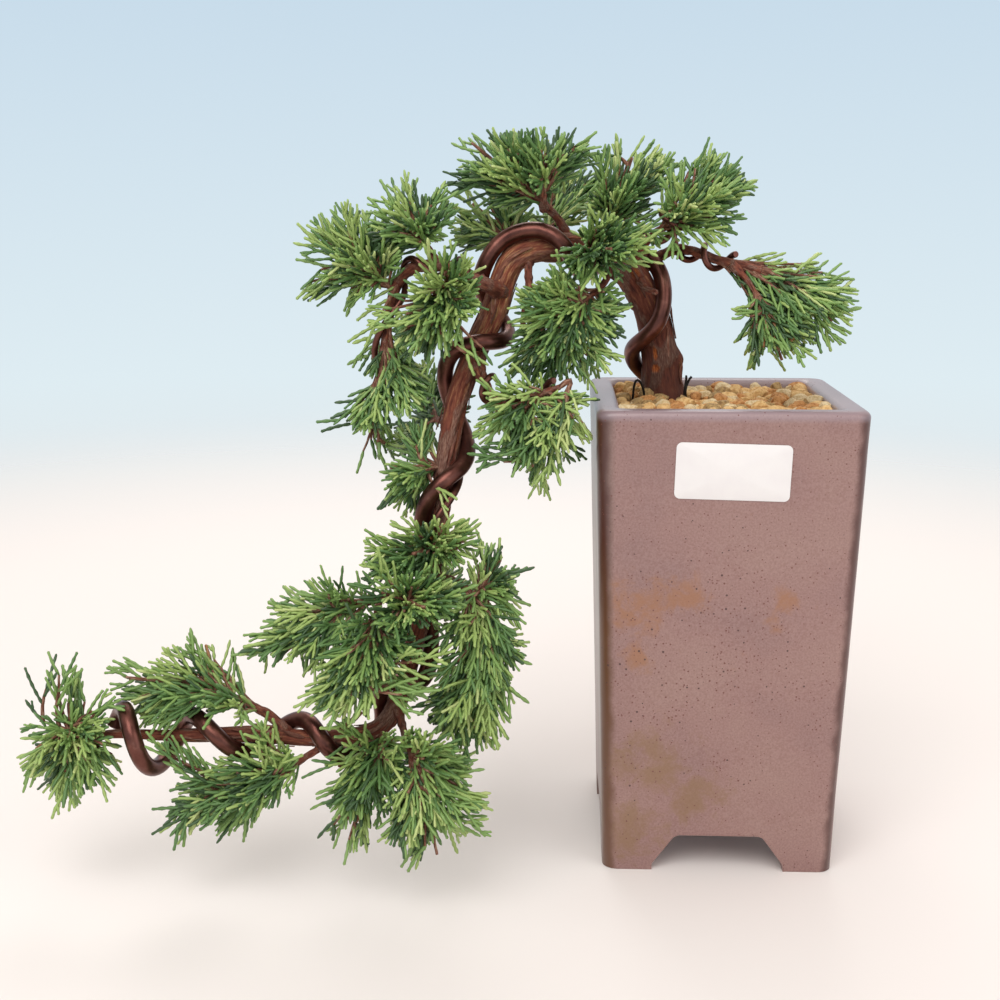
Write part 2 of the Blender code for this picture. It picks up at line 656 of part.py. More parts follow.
def fuse(stem, parts):
    """Union the parts with the stem, and keep only the one body that holds the stem."""
    bpy.context.scene.collection.children.link(parts)
    union = stem.modifiers.new("fuse", 'BOOLEAN')
    union.operation = 'UNION'
    union.operand_type = 'COLLECTION'
    union.collection = parts
    union.solver = 'MANIFOLD'
    evaluated = stem.evaluated_get(bpy.context.evaluated_depsgraph_get())
    fused = bpy.data.meshes.new_from_object(evaluated)
    stem.modifiers.clear()
    stem.data = fused
    for part in list(parts.objects):
        bpy.data.objects.remove(part)
    bpy.data.collections.remove(parts)
    bm = bmesh.new()
    bm.from_mesh(fused)
    bodies = []
    left = set(bm.verts)
    while left:
        body = {left.pop()}
        edge = set(body)
        while edge:
            edge = {e.other_vert(v) for v in edge for e in v.link_edges} - body
            body |= edge
        left -= body
        bodies.append(body)
    bodies.sort(key=len)
    for body in bodies[:-1]:
        bmesh.ops.delete(bm, geom=list(body), context='VERTS')
    bm.to_mesh(fused)
    bm.free()


def settle_origin():
    """Move everything so that the origin is at the bottom centre of the plant's box."""
    solids = [obj for obj in bpy.data.objects if not obj.hide_render]
    bpy.context.view_layer.update()
    corners = np.array([obj.matrix_world @ v.co for obj in solids for v in obj.data.vertices])
    low, high = corners.min(axis=0), corners.max(axis=0)
    shift = Vector(((low[0] + high[0]) / 2, (low[1] + high[1]) / 2, low[2]))
    for obj in bpy.data.objects:
        obj.location -= shift


for old in list(bpy.data.objects):
    bpy.data.objects.remove(old)
clay = material("pot_clay", (0.31, 0.19, 0.17), 0.35)
grit = material("grit", (0.58, 0.33, 0.11), 0.9)
bark = material("bark", (0.20, 0.045, 0.022), 0.8)
anodised = material("anodised_wire", (0.16, 0.04, 0.03), 0.3, 0.8)
leaf = material("leaf", (0.10, 0.22, 0.05), 0.6)

build_pot()
build_soil()
build_trunk()
for bough_name, (bough_route, first_width, last_width) in BOUGHS.items():
    build_bough(bough_name, bough_route, first_width, last_width)
build_wires()
for number, (mass_name, spec) in enumerate(MASSES.items()):
    build_mass(number, mass_name, *spec)
settle_origin()
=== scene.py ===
"""Cascade juniper bonsai in a tall glazed pot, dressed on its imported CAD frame.

Lengths are millimetres in the pot's own axes: the origin is on the ground under the middle of the
pot, +X is to the right of the front, -Y is to the front and +Z is up.
"""
import math
import random

import bmesh
import bpy
import numpy as np
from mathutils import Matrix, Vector


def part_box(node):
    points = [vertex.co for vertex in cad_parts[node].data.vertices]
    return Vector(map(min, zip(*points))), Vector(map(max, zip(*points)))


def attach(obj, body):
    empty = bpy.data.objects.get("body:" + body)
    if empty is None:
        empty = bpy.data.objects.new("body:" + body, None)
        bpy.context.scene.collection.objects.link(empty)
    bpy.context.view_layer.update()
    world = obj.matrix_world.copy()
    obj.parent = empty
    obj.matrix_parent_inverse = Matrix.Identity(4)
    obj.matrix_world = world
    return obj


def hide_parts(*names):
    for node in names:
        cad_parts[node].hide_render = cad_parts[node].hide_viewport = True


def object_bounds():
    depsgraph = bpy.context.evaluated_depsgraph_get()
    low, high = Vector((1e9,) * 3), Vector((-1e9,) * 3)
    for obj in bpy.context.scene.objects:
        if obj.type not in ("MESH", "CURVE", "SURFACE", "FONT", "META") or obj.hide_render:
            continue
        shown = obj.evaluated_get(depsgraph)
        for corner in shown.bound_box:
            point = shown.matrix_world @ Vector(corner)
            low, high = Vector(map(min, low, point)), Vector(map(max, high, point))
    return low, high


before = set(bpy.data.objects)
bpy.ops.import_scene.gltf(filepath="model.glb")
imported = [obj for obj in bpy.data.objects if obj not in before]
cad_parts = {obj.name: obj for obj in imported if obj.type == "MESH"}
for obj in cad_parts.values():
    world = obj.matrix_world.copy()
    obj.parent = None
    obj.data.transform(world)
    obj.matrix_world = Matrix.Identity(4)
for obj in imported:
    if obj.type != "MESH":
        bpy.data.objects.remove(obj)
cad_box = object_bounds()

# ------------------------------------------------------------------ studio
# A pale matt floor that fades into a seamless studio, warm white low down and pale blue above.
# A large soft light stands high on the left of the front, with weaker ones on the right and behind.
MM = 0.001
FLOOR_TINT = "#E8E1DD"
FLOOR_MIDDLE = (-80, 0, -0.05)
FLOOR_RADIUS = 1500
FLOOR_SIDES = 64
FLOOR_FADE = (420, 1150)
STUDIO_TINTS = ((0.0, "#EFEAE6"), (0.24, "#E4F2F8"), (0.55, "#CDE1F0"), (0.9, "#F4EFEA"))
STUDIO_RISE = (-0.32, 0.5)   # the slopes of view at which the tints start and end
STUDIO_GLOW = 0.95
CAMERA_PLACE = (-62.6, -525.8, 245.7)
CAMERA_TILT = 77.72
CAMERA_TURN = 2.15
CAMERA_LENS = 50.5
CAMERA_SENSOR = 36
LIGHT_AIM = (-60, 0, 120)
LIGHTS = {   # place, size and power in watts
    "key_light": ((-380, -920, 1150), 900, 10.0),
    "fill_light": ((900, -700, 700), 900, 3.0),
    "back_light": ((-100, 950, 1100), 800, 5.0),
}

pot_low, pot_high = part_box("pot")
POT_AXIS = np.array([(pot_low.x + pot_high.x) / 2, (pot_low.y + pot_high.y) / 2, 0.0]) / MM


def framed(points):
    """Points in the pot's millimetres, moved to the frame's axes in metres."""
    return (np.asarray(points, float) + POT_AXIS) * MM


def linear(code):
    """An sRGB hex colour as linear RGBA."""
    parts = [int(code[i:i + 2], 16) / 255 for i in (1, 3, 5)]
    return (*[c / 12.92 if c <= 0.04045 else ((c + 0.055) / 1.055) ** 2.4 for c in parts], 1.0)


def add(tree, kind, settings):
    """Add a node. A setting is keyed by a property or a socket; a node as its value is linked."""
    new = tree.nodes.new(kind)
    sockets = {}
    for key, value in settings.items():
        if key == "stops":
            elements = new.color_ramp.elements
            while len(elements) < len(value):
                elements.new(1.0)
            for element, (at, code) in zip(elements, value):
                element.position, element.color = at, linear(code)
        elif isinstance(key, str) and key in new.bl_rna.properties:
            setattr(new, key, value)
        else:
            sockets[key] = value
    for key, value in sockets.items():
        named = (s for s in new.inputs if s.enabled and s.name == key)
        socket = new.inputs[key] if isinstance(key, int) else next(named)
        if isinstance(value, bpy.types.Node):
            value = next(s for s in value.outputs if s.enabled)
        if isinstance(value, bpy.types.NodeSocket):
            tree.links.new(value, socket)
        else:
            socket.default_value = linear(value) if isinstance(value, str) else value
    return new


def object_place(tree):
    """The place on an object that is being shaded, in metres."""
    return add(tree, "ShaderNodeTexCoord", {}).outputs["Object"]


def ramp(tree, value, *stops):
    """Colours along a value, each stop a place and a hex colour."""
    return add(tree, "ShaderNodeValToRGB", {"Fac": value, "stops": stops})


def share(tree, value, start, end, top=1.0, bottom=0.0, shape="LINEAR"):
    """A value mapped to a share: the bottom one at start and the top one at end."""
    return add(tree, "ShaderNodeMapRange", {
        "interpolation_type": shape, "Value": value,
        "From Min": start, "From Max": end, "To Min": bottom, "To Max": top})


def finish(name, **values):
    """A material, its node tree and its Principled shader with constant values on its sockets."""
    made = bpy.data.materials.new(name)
    made.use_nodes = True
    shader = made.node_tree.nodes["Principled BSDF"]
    for key, value in values.items():
        shader.inputs[key.replace("_", " ")].default_value = value
    return made, made.node_tree, shader


def feed(shader, **sources):
    """Link a node to each named socket of a shader."""
    for key, source in sources.items():
        out = next(s for s in source.outputs if s.enabled)
        shader.id_data.links.new(out, shader.inputs[key.replace("_", " ")])


def turns(count):
    """Angles of points spaced evenly round a circle."""
    return np.arange(count) * (2 * math.pi / count)


def circle(radius, count, z=0.0):
    """Points of a level circle."""
    turn = turns(count)
    return np.stack([np.cos(turn) * radius, np.sin(turn) * radius, np.full(count, z)], axis=1)


def array_mesh(name, points, quads, tris=(), materials=(), picks=None):
    """A smooth-shaded object from arrays of points in millimetres and faces of four and three sides."""
    points = framed(points).astype(np.float32)
    quads = np.asarray(quads, np.int32).reshape(-1, 4)
    tris = np.asarray(tris, np.int32).reshape(-1, 3)
    mesh = bpy.data.meshes.new(name)
    mesh.vertices.add(len(points))
    mesh.vertices.foreach_set("co", points.ravel())
    loops = np.concatenate([quads.ravel(), tris.ravel()])
    mesh.loops.add(len(loops))
    mesh.loops.foreach_set("vertex_index", loops)
    mesh.polygons.add(len(quads) + len(tris))
    starts = np.concatenate([np.arange(len(quads)) * 4, quads.size + np.arange(len(tris)) * 3])
    mesh.polygons.foreach_set("loop_start", starts.astype(np.int32))
    for made in materials:
        mesh.materials.append(made)
    if picks is not None:
        mesh.polygons.foreach_set("material_index", np.asarray(picks, np.int32))
    mesh.update(calc_edges=True)
    mesh.shade_smooth()
    obj = bpy.data.objects.new(name, mesh)
    bpy.context.scene.collection.objects.link(obj)
    return obj


scene = bpy.context.scene
scene.view_settings.view_transform = "Standard"
scene.world = bpy.data.worlds.new("studio")
scene.world.use_nodes = True
tree = scene.world.node_tree
view = add(tree, "ShaderNodeTexCoord", {})
rise = add(tree, "ShaderNodeSeparateXYZ", {"Vector": view.outputs["Generated"]})
backdrop = tree.nodes["Background"]
backdrop.inputs["Strength"].default_value = STUDIO_GLOW
feed(backdrop, Color=ramp(tree, share(tree, rise.outputs["Z"], *STUDIO_RISE), *STUDIO_TINTS))

# The floor is matt, and clears to the backdrop far from the pot, so that no edge is seen.
floor_finish, tree, shader = finish("matt_studio_floor", Roughness=0.85, Base_Color=linear(FLOOR_TINT))
away = add(tree, "ShaderNodeVectorMath", {"operation": "LENGTH", "Vector": object_place(tree)})
fade = share(tree, away.outputs["Value"], FLOOR_FADE[0] * MM, FLOOR_FADE[1] * MM, shape="SMOOTHSTEP")
clear = add(tree, "ShaderNodeBsdfTransparent", {})
faded = add(tree, "ShaderNodeMixShader", {0: fade, 1: shader, 2: clear})
feed(tree.nodes["Material Output"], Surface=faded)
rim = circle(FLOOR_RADIUS, FLOOR_SIDES) + FLOOR_MIDDLE
fan = [(FLOOR_SIDES, k, (k + 1) % FLOOR_SIDES) for k in range(FLOOR_SIDES)]
floor = array_mesh("floor", np.vstack([rim, FLOOR_MIDDLE]), (), fan, [floor_finish])

for name, (place, size, power) in LIGHTS.items():
    lamp = bpy.data.lights.new(name, "AREA")
    lamp.size, lamp.energy = size * MM, power
    light = bpy.data.objects.new(name, lamp)
    light.location = Vector(framed(place))
    aim = Vector(framed(LIGHT_AIM)) - light.location
    light.rotation_euler = aim.to_track_quat("-Z", "Y").to_euler()
    scene.collection.objects.link(light)

lens = bpy.data.cameras.new("camera")
lens.lens, lens.sensor_width, lens.clip_start = CAMERA_LENS, CAMERA_SENSOR, 10 * MM
camera = bpy.data.objects.new("camera", lens)
camera.location = Vector(framed(CAMERA_PLACE))
camera.rotation_euler = (math.radians(CAMERA_TILT), 0, math.radians(CAMERA_TURN))
scene.collection.objects.link(camera)
scene.camera = camera

# ------------------------------------------------------------------ pot
# Stoneware pot, slab built with softened corners, four feet cut from the wall and a drain hole.
# Its satin mauve glaze broke to brown on the edges, with painted dark reflection on the left corner, and to
# ochre in patches, with iron spots.
POT_HEIGHT = 173
POT_RIM_HALF = 47.5
POT_BASE_HALF = 42.5
POT_WALL = 9
POT_CORNER = 5.5
POT_INNER_CORNER = 3.5
POT_EDGE = 2.5            # rounding of the rim
POT_FLOOR = 22
FOOT_GAP = [(-24.3, -2), (24.3, -2), (24.2, 2.4), (17.6, 11.6), (16.4, 13.2), (14.6, 14),
            (-14.6, 14), (-16.4, 13.2), (-17.6, 11.6), (-24.2, 2.4)]
FOOT_CUT = (-60, 60)      # where the cutters of the feet start and end
FOOT_ROUNDING, FOOT_FACETS, FOOT_ANGLE = 1.1, 3, 32
DRAIN_RADIUS, DRAIN_CUT, DRAIN_SIDES = 8, (5.0, 30.0), 40
POT_CREASE = 50           # edges sharper than this many degrees are shaded as edges
WALL_RINGS = 22
EDGE_STEP = 15            # degrees
CORNER_STEPS = 8
SIDE_STEPS = 10
HAND_DENT = 0.22          # how far the hand-made walls stray inwards
DENTS = ((16, 34, 3, 1.0), (32, 15, 4, 0.5))   # number round the pot, height, seed and share
DENT_FADE = (25, 12)      # over this height from the feet and from the rim
OCHRE_PATCHES = (         # middle and reach
    ((-33, -46, 103), 19), ((-15, -46, 107), 14), ((20, -46, 105), 9), ((17, -46, 97), 7),
    ((-24, -44, 42), 26), ((-32, -44, 16), 22), ((-8, -44, 30), 18), ((-31, -46, 84), 10),
    ((44, 10, 60), 30), ((10, 46, 90), 34), ((-45, 5, 120), 30),
)
OCHRE_CORE = 0.2          # share of its reach where a patch is whole
IRON_SPOTS = ((1.3, 0.2, 0.27, "#6A3B34"), (2.2, 0.58, 0.2, "#4E2F2D"))   # spacing, rarity, reach, colour
IRON_MIDDLE = (-4, -46, 84)


def ripple(u, v, period, seed):
    """Smooth noise from -1 to 1 on a grid that repeats after `period` steps in u."""
    def corner(i, j):
        wave = np.sin(np.mod(i, period) * 127.1 + j * 311.7 + seed * 74.7) * 43758.5453
        return (wave - np.floor(wave)) * 2 - 1

    i, j = np.floor(u), np.floor(v)
    a, b = u - i, v - j
    a, b = a * a * (3 - 2 * a), b * b * (3 - 2 * b)
    low = corner(i, j) * (1 - a) + corner(i + 1, j) * a
    high = corner(i, j + 1) * (1 - a) + corner(i + 1, j + 1) * a
    return low * (1 - b) + high * b


def pot_half(z):
    """Half the pot's outside width at a height."""
    return POT_BASE_HALF + (POT_RIM_HALF - POT_BASE_HALF) * z / POT_HEIGHT


def pot_ring(half, corner, z):
    """A square ring with rounded corners, and a few points along each straight side."""
    points = []
    straight = half - corner
    for quarter, (sx, sy) in enumerate(((1, 1), (-1, 1), (-1, -1), (1, -1))):
        turned = math.radians(90) * quarter
        for k in range(CORNER_STEPS + 1):
            angle = turned + math.radians(90) * k / CORNER_STEPS
            points.append((sx * straight + corner * math.cos(angle),
                           sy * straight + corner * math.sin(angle), z))
        out = turned + math.pi / 2
        for k in range(1, SIDE_STEPS):
            along = straight * (1 - 2 * k / SIDE_STEPS)
            points.append((math.cos(out) * half + math.cos(turned) * along,
                           math.sin(out) * half + math.sin(turned) * along, z))
    return points


def bridged(rings):
    """Points and four-sided faces of a closed tube through equal rings, with a fan at each end."""
    rings = np.asarray(rings, float)
    count, sides = rings.shape[:2]
    base = np.arange(count - 1)[:, None] * sides
    s = np.arange(sides)
    n = (s + 1) % sides
    quads = np.stack([base + s, base + n, base + sides + n, base + sides + s], axis=2).reshape(-1, 4)
    ends = np.stack([rings[0].mean(axis=0), rings[-1].mean(axis=0)])
    top = (count - 1) * sides
    tris = np.concatenate([np.stack([n, s, np.full(sides, count * sides)], axis=1),
                           np.stack([s + top, n + top, np.full(sides, count * sides + 1)], axis=1)])
    return np.vstack([rings.reshape(-1, 3), ends]), quads, tris


def outwards(obj):
    """Turn every face of a closed mesh outwards."""
    bm = bmesh.new()
    bm.from_mesh(obj.data)
    bmesh.ops.recalc_face_normals(bm, faces=bm.faces)
    bm.to_mesh(obj.data)
    bm.free()
    return obj


def baked(obj):
    """Apply an object's modifiers and remove the cutters that they used."""
    cutters = [m.object for m in obj.modifiers if m.type == "BOOLEAN"]
    evaluated = obj.evaluated_get(bpy.context.evaluated_depsgraph_get())
    mesh = bpy.data.meshes.new_from_object(evaluated)
    obj.modifiers.clear()
    obj.data = mesh
    for cutter in cutters:
        bpy.data.objects.remove(cutter)
    return obj


rings = [pot_ring(pot_half(z), POT_CORNER, z)
         for z in np.linspace(0, POT_HEIGHT - POT_EDGE - 2, WALL_RINGS)]
edge = [math.radians(angle) for angle in range(0, 91, EDGE_STEP)]
for inner, turn in [(False, a) for a in edge] + [(True, a) for a in reversed(edge)]:
    z = POT_HEIGHT - POT_EDGE * (1 - math.sin(turn))
    inset = POT_EDGE * (1 - math.cos(turn))
    half = pot_half(z) - POT_WALL + inset if inner else pot_half(z) - inset
    rings.append(pot_ring(half, POT_INNER_CORNER if inner else POT_CORNER, z))
rings.append(pot_ring(pot_half(POT_FLOOR) - POT_WALL, POT_INNER_CORNER, POT_FLOOR))
points, quads, tris = bridged(rings)
turned, height = np.arctan2(points[:, 1], points[:, 0]) / (2 * math.pi), points[:, 2]
dent = sum(part * ripple(turned * many, height / tall, many, seed) for many, tall, seed, part in DENTS)
dent /= sum(part for *_, part in DENTS)
flat_part = np.clip(height / DENT_FADE[0], 0, 1) * np.clip((POT_HEIGHT - height) / DENT_FADE[1], 0.15, 1)
points[:, :2] -= points[:, :2] / POT_RIM_HALF * HAND_DENT * ((0.5 + 0.5 * dent) * flat_part)[:, None]
pot = outwards(array_mesh("pot_glazed", points, quads, tris))
cuts = [[[(end, w, h) if across else (w, end, h) for w, h in FOOT_GAP] for end in FOOT_CUT]
        for across in (False, True)]
cuts.append([circle(DRAIN_RADIUS, DRAIN_SIDES, z) for z in DRAIN_CUT])
for rings in cuts:
    cut = pot.modifiers.new("cut", "BOOLEAN")
    cut.object = outwards(array_mesh("cutter", *bridged(rings)))
    cut.operation, cut.solver = "DIFFERENCE", "EXACT"
soften = pot.modifiers.new("soften", "BEVEL")
soften.width, soften.segments = FOOT_ROUNDING * MM, FOOT_FACETS
soften.limit_method, soften.angle_limit = "ANGLE", math.radians(FOOT_ANGLE)
baked(pot)
pot.data.shade_smooth()
pot.data.set_sharp_from_angle(angle=math.radians(POT_CREASE))


def noise(tree, vector, scale, detail=2.0, roughness=0.5, distortion=0.0):
    """Soft noise at a vector, with `scale` features to its unit."""
    return add(tree, "ShaderNodeTexNoise", {"Vector": vector, "Scale": scale, "Detail": detail,
                                            "Roughness": roughness, "Distortion": distortion})


def over(tree, amount, under, upper):
    """One colour laid over another by an amount; a colour is a node or a hex code."""
    return add(tree, "ShaderNodeMix", {"data_type": "RGBA", 0: amount, 6: under, 7: upper})


def maths(tree, operation, *values):
    """A sum of links and numbers, in the order of the node's sockets."""
    return add(tree, "ShaderNodeMath", {"operation": operation, **dict(enumerate(values))})


def bump(tree, height, strength, depth):
    """Normals of a fine relief, whose depth is in millimetres."""
    return add(tree, "ShaderNodeBump", {"Height": height, "Strength": strength, "Distance": depth * MM})


def distance(tree, vector, middle):
    """How far a place is from a middle."""
    node = add(tree, "ShaderNodeVectorMath", {"operation": "DISTANCE", 0: vector, 1: middle})
    return node.outputs["Value"]


# Satin stoneware glaze: soft broad highlights, a fine orange-peel skin, and colour that gathers
# in grains and clouds. Where it ran thin, on edges and in patches, it is brown and ochre. Light is
# painted into the colour as well: a highlight band and sheen on the rim, shade on the left face
# and a dark reflection on the left corner.
glaze, tree, shader = finish("satin_stoneware_glaze", IOR=1.5, Coat_Weight=0.35, Coat_Roughness=0.24)
spot = add(tree, "ShaderNodeMapping", {"Scale": (1 / MM,) * 3, "Location": tuple(-POT_AXIS),
                                       "Vector": object_place(tree)})
clouds = noise(tree, spot, 1 / 38, 4.0, 0.55)
body = ramp(tree, clouds, (0.36, "#86645F"), (0.5, "#8E6A63"), (0.66, "#937168"))
grain = ramp(tree, noise(tree, spot, 1 / 0.7, 3.0, 0.6), (0.36, "#714C46"), (0.64, "#A88B86"))
grained = over(tree, 0.24, body, grain)
axes = add(tree, "ShaderNodeSeparateXYZ", {"Vector": spot}).outputs

patches = None
for middle, reach in OCHRE_PATCHES:
    near = share(tree, distance(tree, spot, middle), reach, reach * OCHRE_CORE)
    patches = near if patches is None else maths(tree, "MAXIMUM", patches, near)
ragged = maths(tree, "MULTIPLY_ADD", patches, 0.34, noise(tree, spot, 1 / 9, 7.0, 0.68, 0.4))
ochre = over(tree, share(tree, axes["Z"], 85, 55), "#94613A", "#7F5F3D")
patched = over(tree, share(tree, ragged, 0.62, 0.9, 0.66, shape="SMOOTHSTEP"), grained, ochre)
# the narrow left face: partly its greyer glaze, partly painted shade that keeps it darker than the key light
# leaves it
left_face_grey_and_shade = over(tree, share(tree, axes["X"], -40, -45.5, 0.8), patched, "#524A3F")

lean = (POT_RIM_HALF - POT_BASE_HALF) / POT_HEIGHT
half_here = maths(tree, "MULTIPLY_ADD", axes["Z"], lean, POT_BASE_HALF)
insets = [maths(tree, "SUBTRACT", half_here, maths(tree, "ABSOLUTE", axes[axis])) for axis in "XY"]
wavy = maths(tree, "MULTIPLY_ADD", noise(tree, spot, 1 / 9, 3.0), 4.0, maths(tree, "MAXIMUM", *insets))
# painted dark reflection: the brown band reaches further in on the left corner than on the right
wavy = maths(tree, "ADD", wavy, share(tree, axes["X"], -20, 30, 0.4))
on_left = maths(tree, "LESS_THAN", axes["X"], 0.0)
low_left = maths(tree, "MULTIPLY", share(tree, axes["Z"], 132, 92, 0.85), on_left)
broken = over(tree, low_left, "#4A2119", "#643E22")
# brown on the vertical corners: partly glaze broken thin, partly painted dark reflection
edges_broken_and_dark_reflection = over(tree, share(tree, wavy, 7.8, 4.4, 0.95, shape="SMOOTHSTEP"), left_face_grey_and_shade, broken)
# painted highlight: a pale lilac band where light catches the rounded outer edge of the rim
rim_painted_highlight = over(tree, share(tree, axes["Z"], 168.6, 171.2, 0.5, shape="SMOOTHSTEP"), edges_broken_and_dark_reflection, "#97868C")
topped = over(tree, share(tree, axes["Z"], 171.9, 172.6, 0.85), rim_painted_highlight, "#8A757A")
# painted sheen: the inner side of the rim and the inner walls go lighter and lilac-grey
inner_rim_painted_sheen = over(tree, share(tree, maths(tree, "MINIMUM", *insets), 6.8, 8.4, 0.5), topped, "#A3959A")

likely = maths(tree, "MULTIPLY_ADD", noise(tree, spot, 1 / 24), 0.8, -0.4)
likely = maths(tree, "ADD", likely, share(tree, distance(tree, spot, IRON_MIDDLE), 56, 12, 0.2, -0.12))
spotted = inner_rim_painted_sheen
for spacing, rarity, reach, tint in IRON_SPOTS:
    cells = add(tree, "ShaderNodeTexVoronoi", {"Scale": 1 / spacing, "Randomness": 1.0, "Vector": spot})
    chance = add(tree, "ShaderNodeSeparateColor", {"Color": cells.outputs["Color"]})
    odds = maths(tree, "ADD", chance.outputs["Red"], likely)
    size_here = share(tree, odds, rarity, 1.1, reach)
    spotted = over(tree, maths(tree, "LESS_THAN", cells.outputs["Distance"], size_here), spotted, tint)
feed(shader, Base_Color=spotted, Normal=bump(tree, noise(tree, spot, 1 / 1.6), 0.35, 0.12),
     Roughness=share(tree, clouds, 0, 1, 0.5, 0.3))
pot.data.materials.append(glaze)
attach(pot, "root")
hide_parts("pot")

# ------------------------------------------------------------------ label
# A blank self-adhesive label of white film on the front wall, put on a little askew by hand.
LABEL_WIDTH, LABEL_HEIGHT, LABEL_CORNER = 40, 20, 2
LABEL_CORNER_STEPS = 8
LABEL_MIDDLE = (0.2, 151.9)
LABEL_TURN = math.radians(-1.4)
LABEL_CREASE = 30
LABEL_LAYERS = ((0.06, 0.0), (0.14, 0.0), (0.19, 0.12))   # height over the wall, and how much smaller

outline = []
for quarter, (sx, sy) in enumerate(((1, 1), (-1, 1), (-1, -1), (1, -1))):
    for k in range(LABEL_CORNER_STEPS + 1):
        angle = math.radians(90 * quarter + 90 * k / LABEL_CORNER_STEPS)
        outline.append((sx * (LABEL_WIDTH / 2 - LABEL_CORNER) + LABEL_CORNER * math.cos(angle),
                        sy * (LABEL_HEIGHT / 2 - LABEL_CORNER) + LABEL_CORNER * math.sin(angle)))
rings = []
for proud, shrink in LABEL_LAYERS:
    ring = []
    for w, h in outline:
        w, h = w * (1 - shrink / (LABEL_WIDTH / 2)), h * (1 - shrink / (LABEL_HEIGHT / 2))
        x = LABEL_MIDDLE[0] + w * math.cos(LABEL_TURN) - h * math.sin(LABEL_TURN)
        z = LABEL_MIDDLE[1] + w * math.sin(LABEL_TURN) + h * math.cos(LABEL_TURN)
        ring.append((x, -pot_half(z) - proud, z))
    rings.append(ring)
# White polypropylene film with a paper face: even, softly shiny, a trace of the wall under it.
film, tree, shader = finish("white_label_film", Roughness=0.38, IOR=1.45)
waves = noise(tree, object_place(tree), 1 / (6 * MM))
feed(shader, Base_Color=ramp(tree, waves, (0.3, "#E2DBD9"), (0.7, "#E5DFDC")),
     Normal=bump(tree, waves, 0.12, 0.1))
label = outwards(array_mesh("blank_label", *bridged(rings), materials=[film]))
label.data.set_sharp_from_angle(angle=math.radians(LABEL_CREASE))
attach(label, "root")

# ------------------------------------------------------------------ grit
# Screened pumice and baked clay, 3 to 6 mm, filled almost to the rim. The grains lie loose on a
# bed of the same grit, heaped a little round the foot of the trunk.
SOIL_LEVEL = 168.5
GRAIN_SPACING = 4.5
GRAIN_SCATTER = 1.2
GRAIN_SIZES = (1.9, 3.3)
GRAIN_FACETS = 8
GRAIN_MARGIN = 2.4        # from the pot's wall to the middles of the outer grains
GRAIN_CUTS = (0.72, 1.0)  # how near the middle a grain's facets lie
GRAIN_STRETCH = ((0.85, 1.25), (0.8, 1.1), (0.7, 0.95))   # along each axis
GRAIN_CREASE = 24
GRAIN_STONES = (          # colour, colour of its pits and share
    ("#DDB880", "#B98A50", 4), ("#C6905A", "#9A6430", 3),
    ("#DCC69E", "#BC9C6C", 2), ("#B0905F", "#7F6240", 2),
)
LAYER_START, LAYER_RISE, LAYER_JITTER = -0.8, 2.0, 0.7    # heights over the grit's level
LAYER_GAPS = 0.62         # share of its grains that the second layer leaves out
HEAP_MIDDLE, HEAP_HEIGHT, HEAP_REACH = (-20, 8), 1.6, 22
BED_GAP, BED_DEPTH, BED_CREASE = 0.4, 2.2, 40
GRAIN_SEED = 21
BALL_LEVELS, QUICK_BALL_LEVELS = 3, 2


def icosphere(levels):
    """Points of a unit sphere, and its triangles."""
    bm = bmesh.new()
    bmesh.ops.create_icosphere(bm, subdivisions=levels, radius=1.0)
    points = np.array([v.co for v in bm.verts])
    tris = np.array([[v.index for v in f.verts] for f in bm.faces])
    bm.free()
    return points, tris


def crushed(ball, size, rng):
    """Points of an angular grain: a ball cut by facets at random and stretched."""
    normals = np.array([Vector((rng.gauss(0, 1), rng.gauss(0, 1), rng.gauss(0, 1))).normalized()
                        for _ in range(GRAIN_FACETS)])
    reach = np.array([rng.uniform(*GRAIN_CUTS) for _ in range(GRAIN_FACETS)])
    facing = ball @ normals.T
    radius = np.min(np.where(facing > 0.05, reach / np.maximum(facing, 0.05), 9.0), axis=1)
    stretch = np.array([rng.uniform(*span) for span in GRAIN_STRETCH])
    return ball * np.minimum(radius, 1.2)[:, None] * stretch * size


grit_finishes = []
# Porous dry stone: fully matt, mottled, with dark pits in the broken faces.
for tone, dark, _ in GRAIN_STONES:
    made, tree, shader = finish("crushed_pumice_" + tone[1:].lower(), Roughness=0.93)
    where = object_place(tree)
    mottle = ramp(tree, noise(tree, where, 1 / (1.3 * MM), 6.0, 0.65), (0.36, dark), (0.56, tone))
    pits = noise(tree, where, 1 / (0.5 * MM), 4.0)
    feed(shader, Base_Color=mottle, Normal=bump(tree, pits, 0.7, 0.3))
    grit_finishes.append(made)

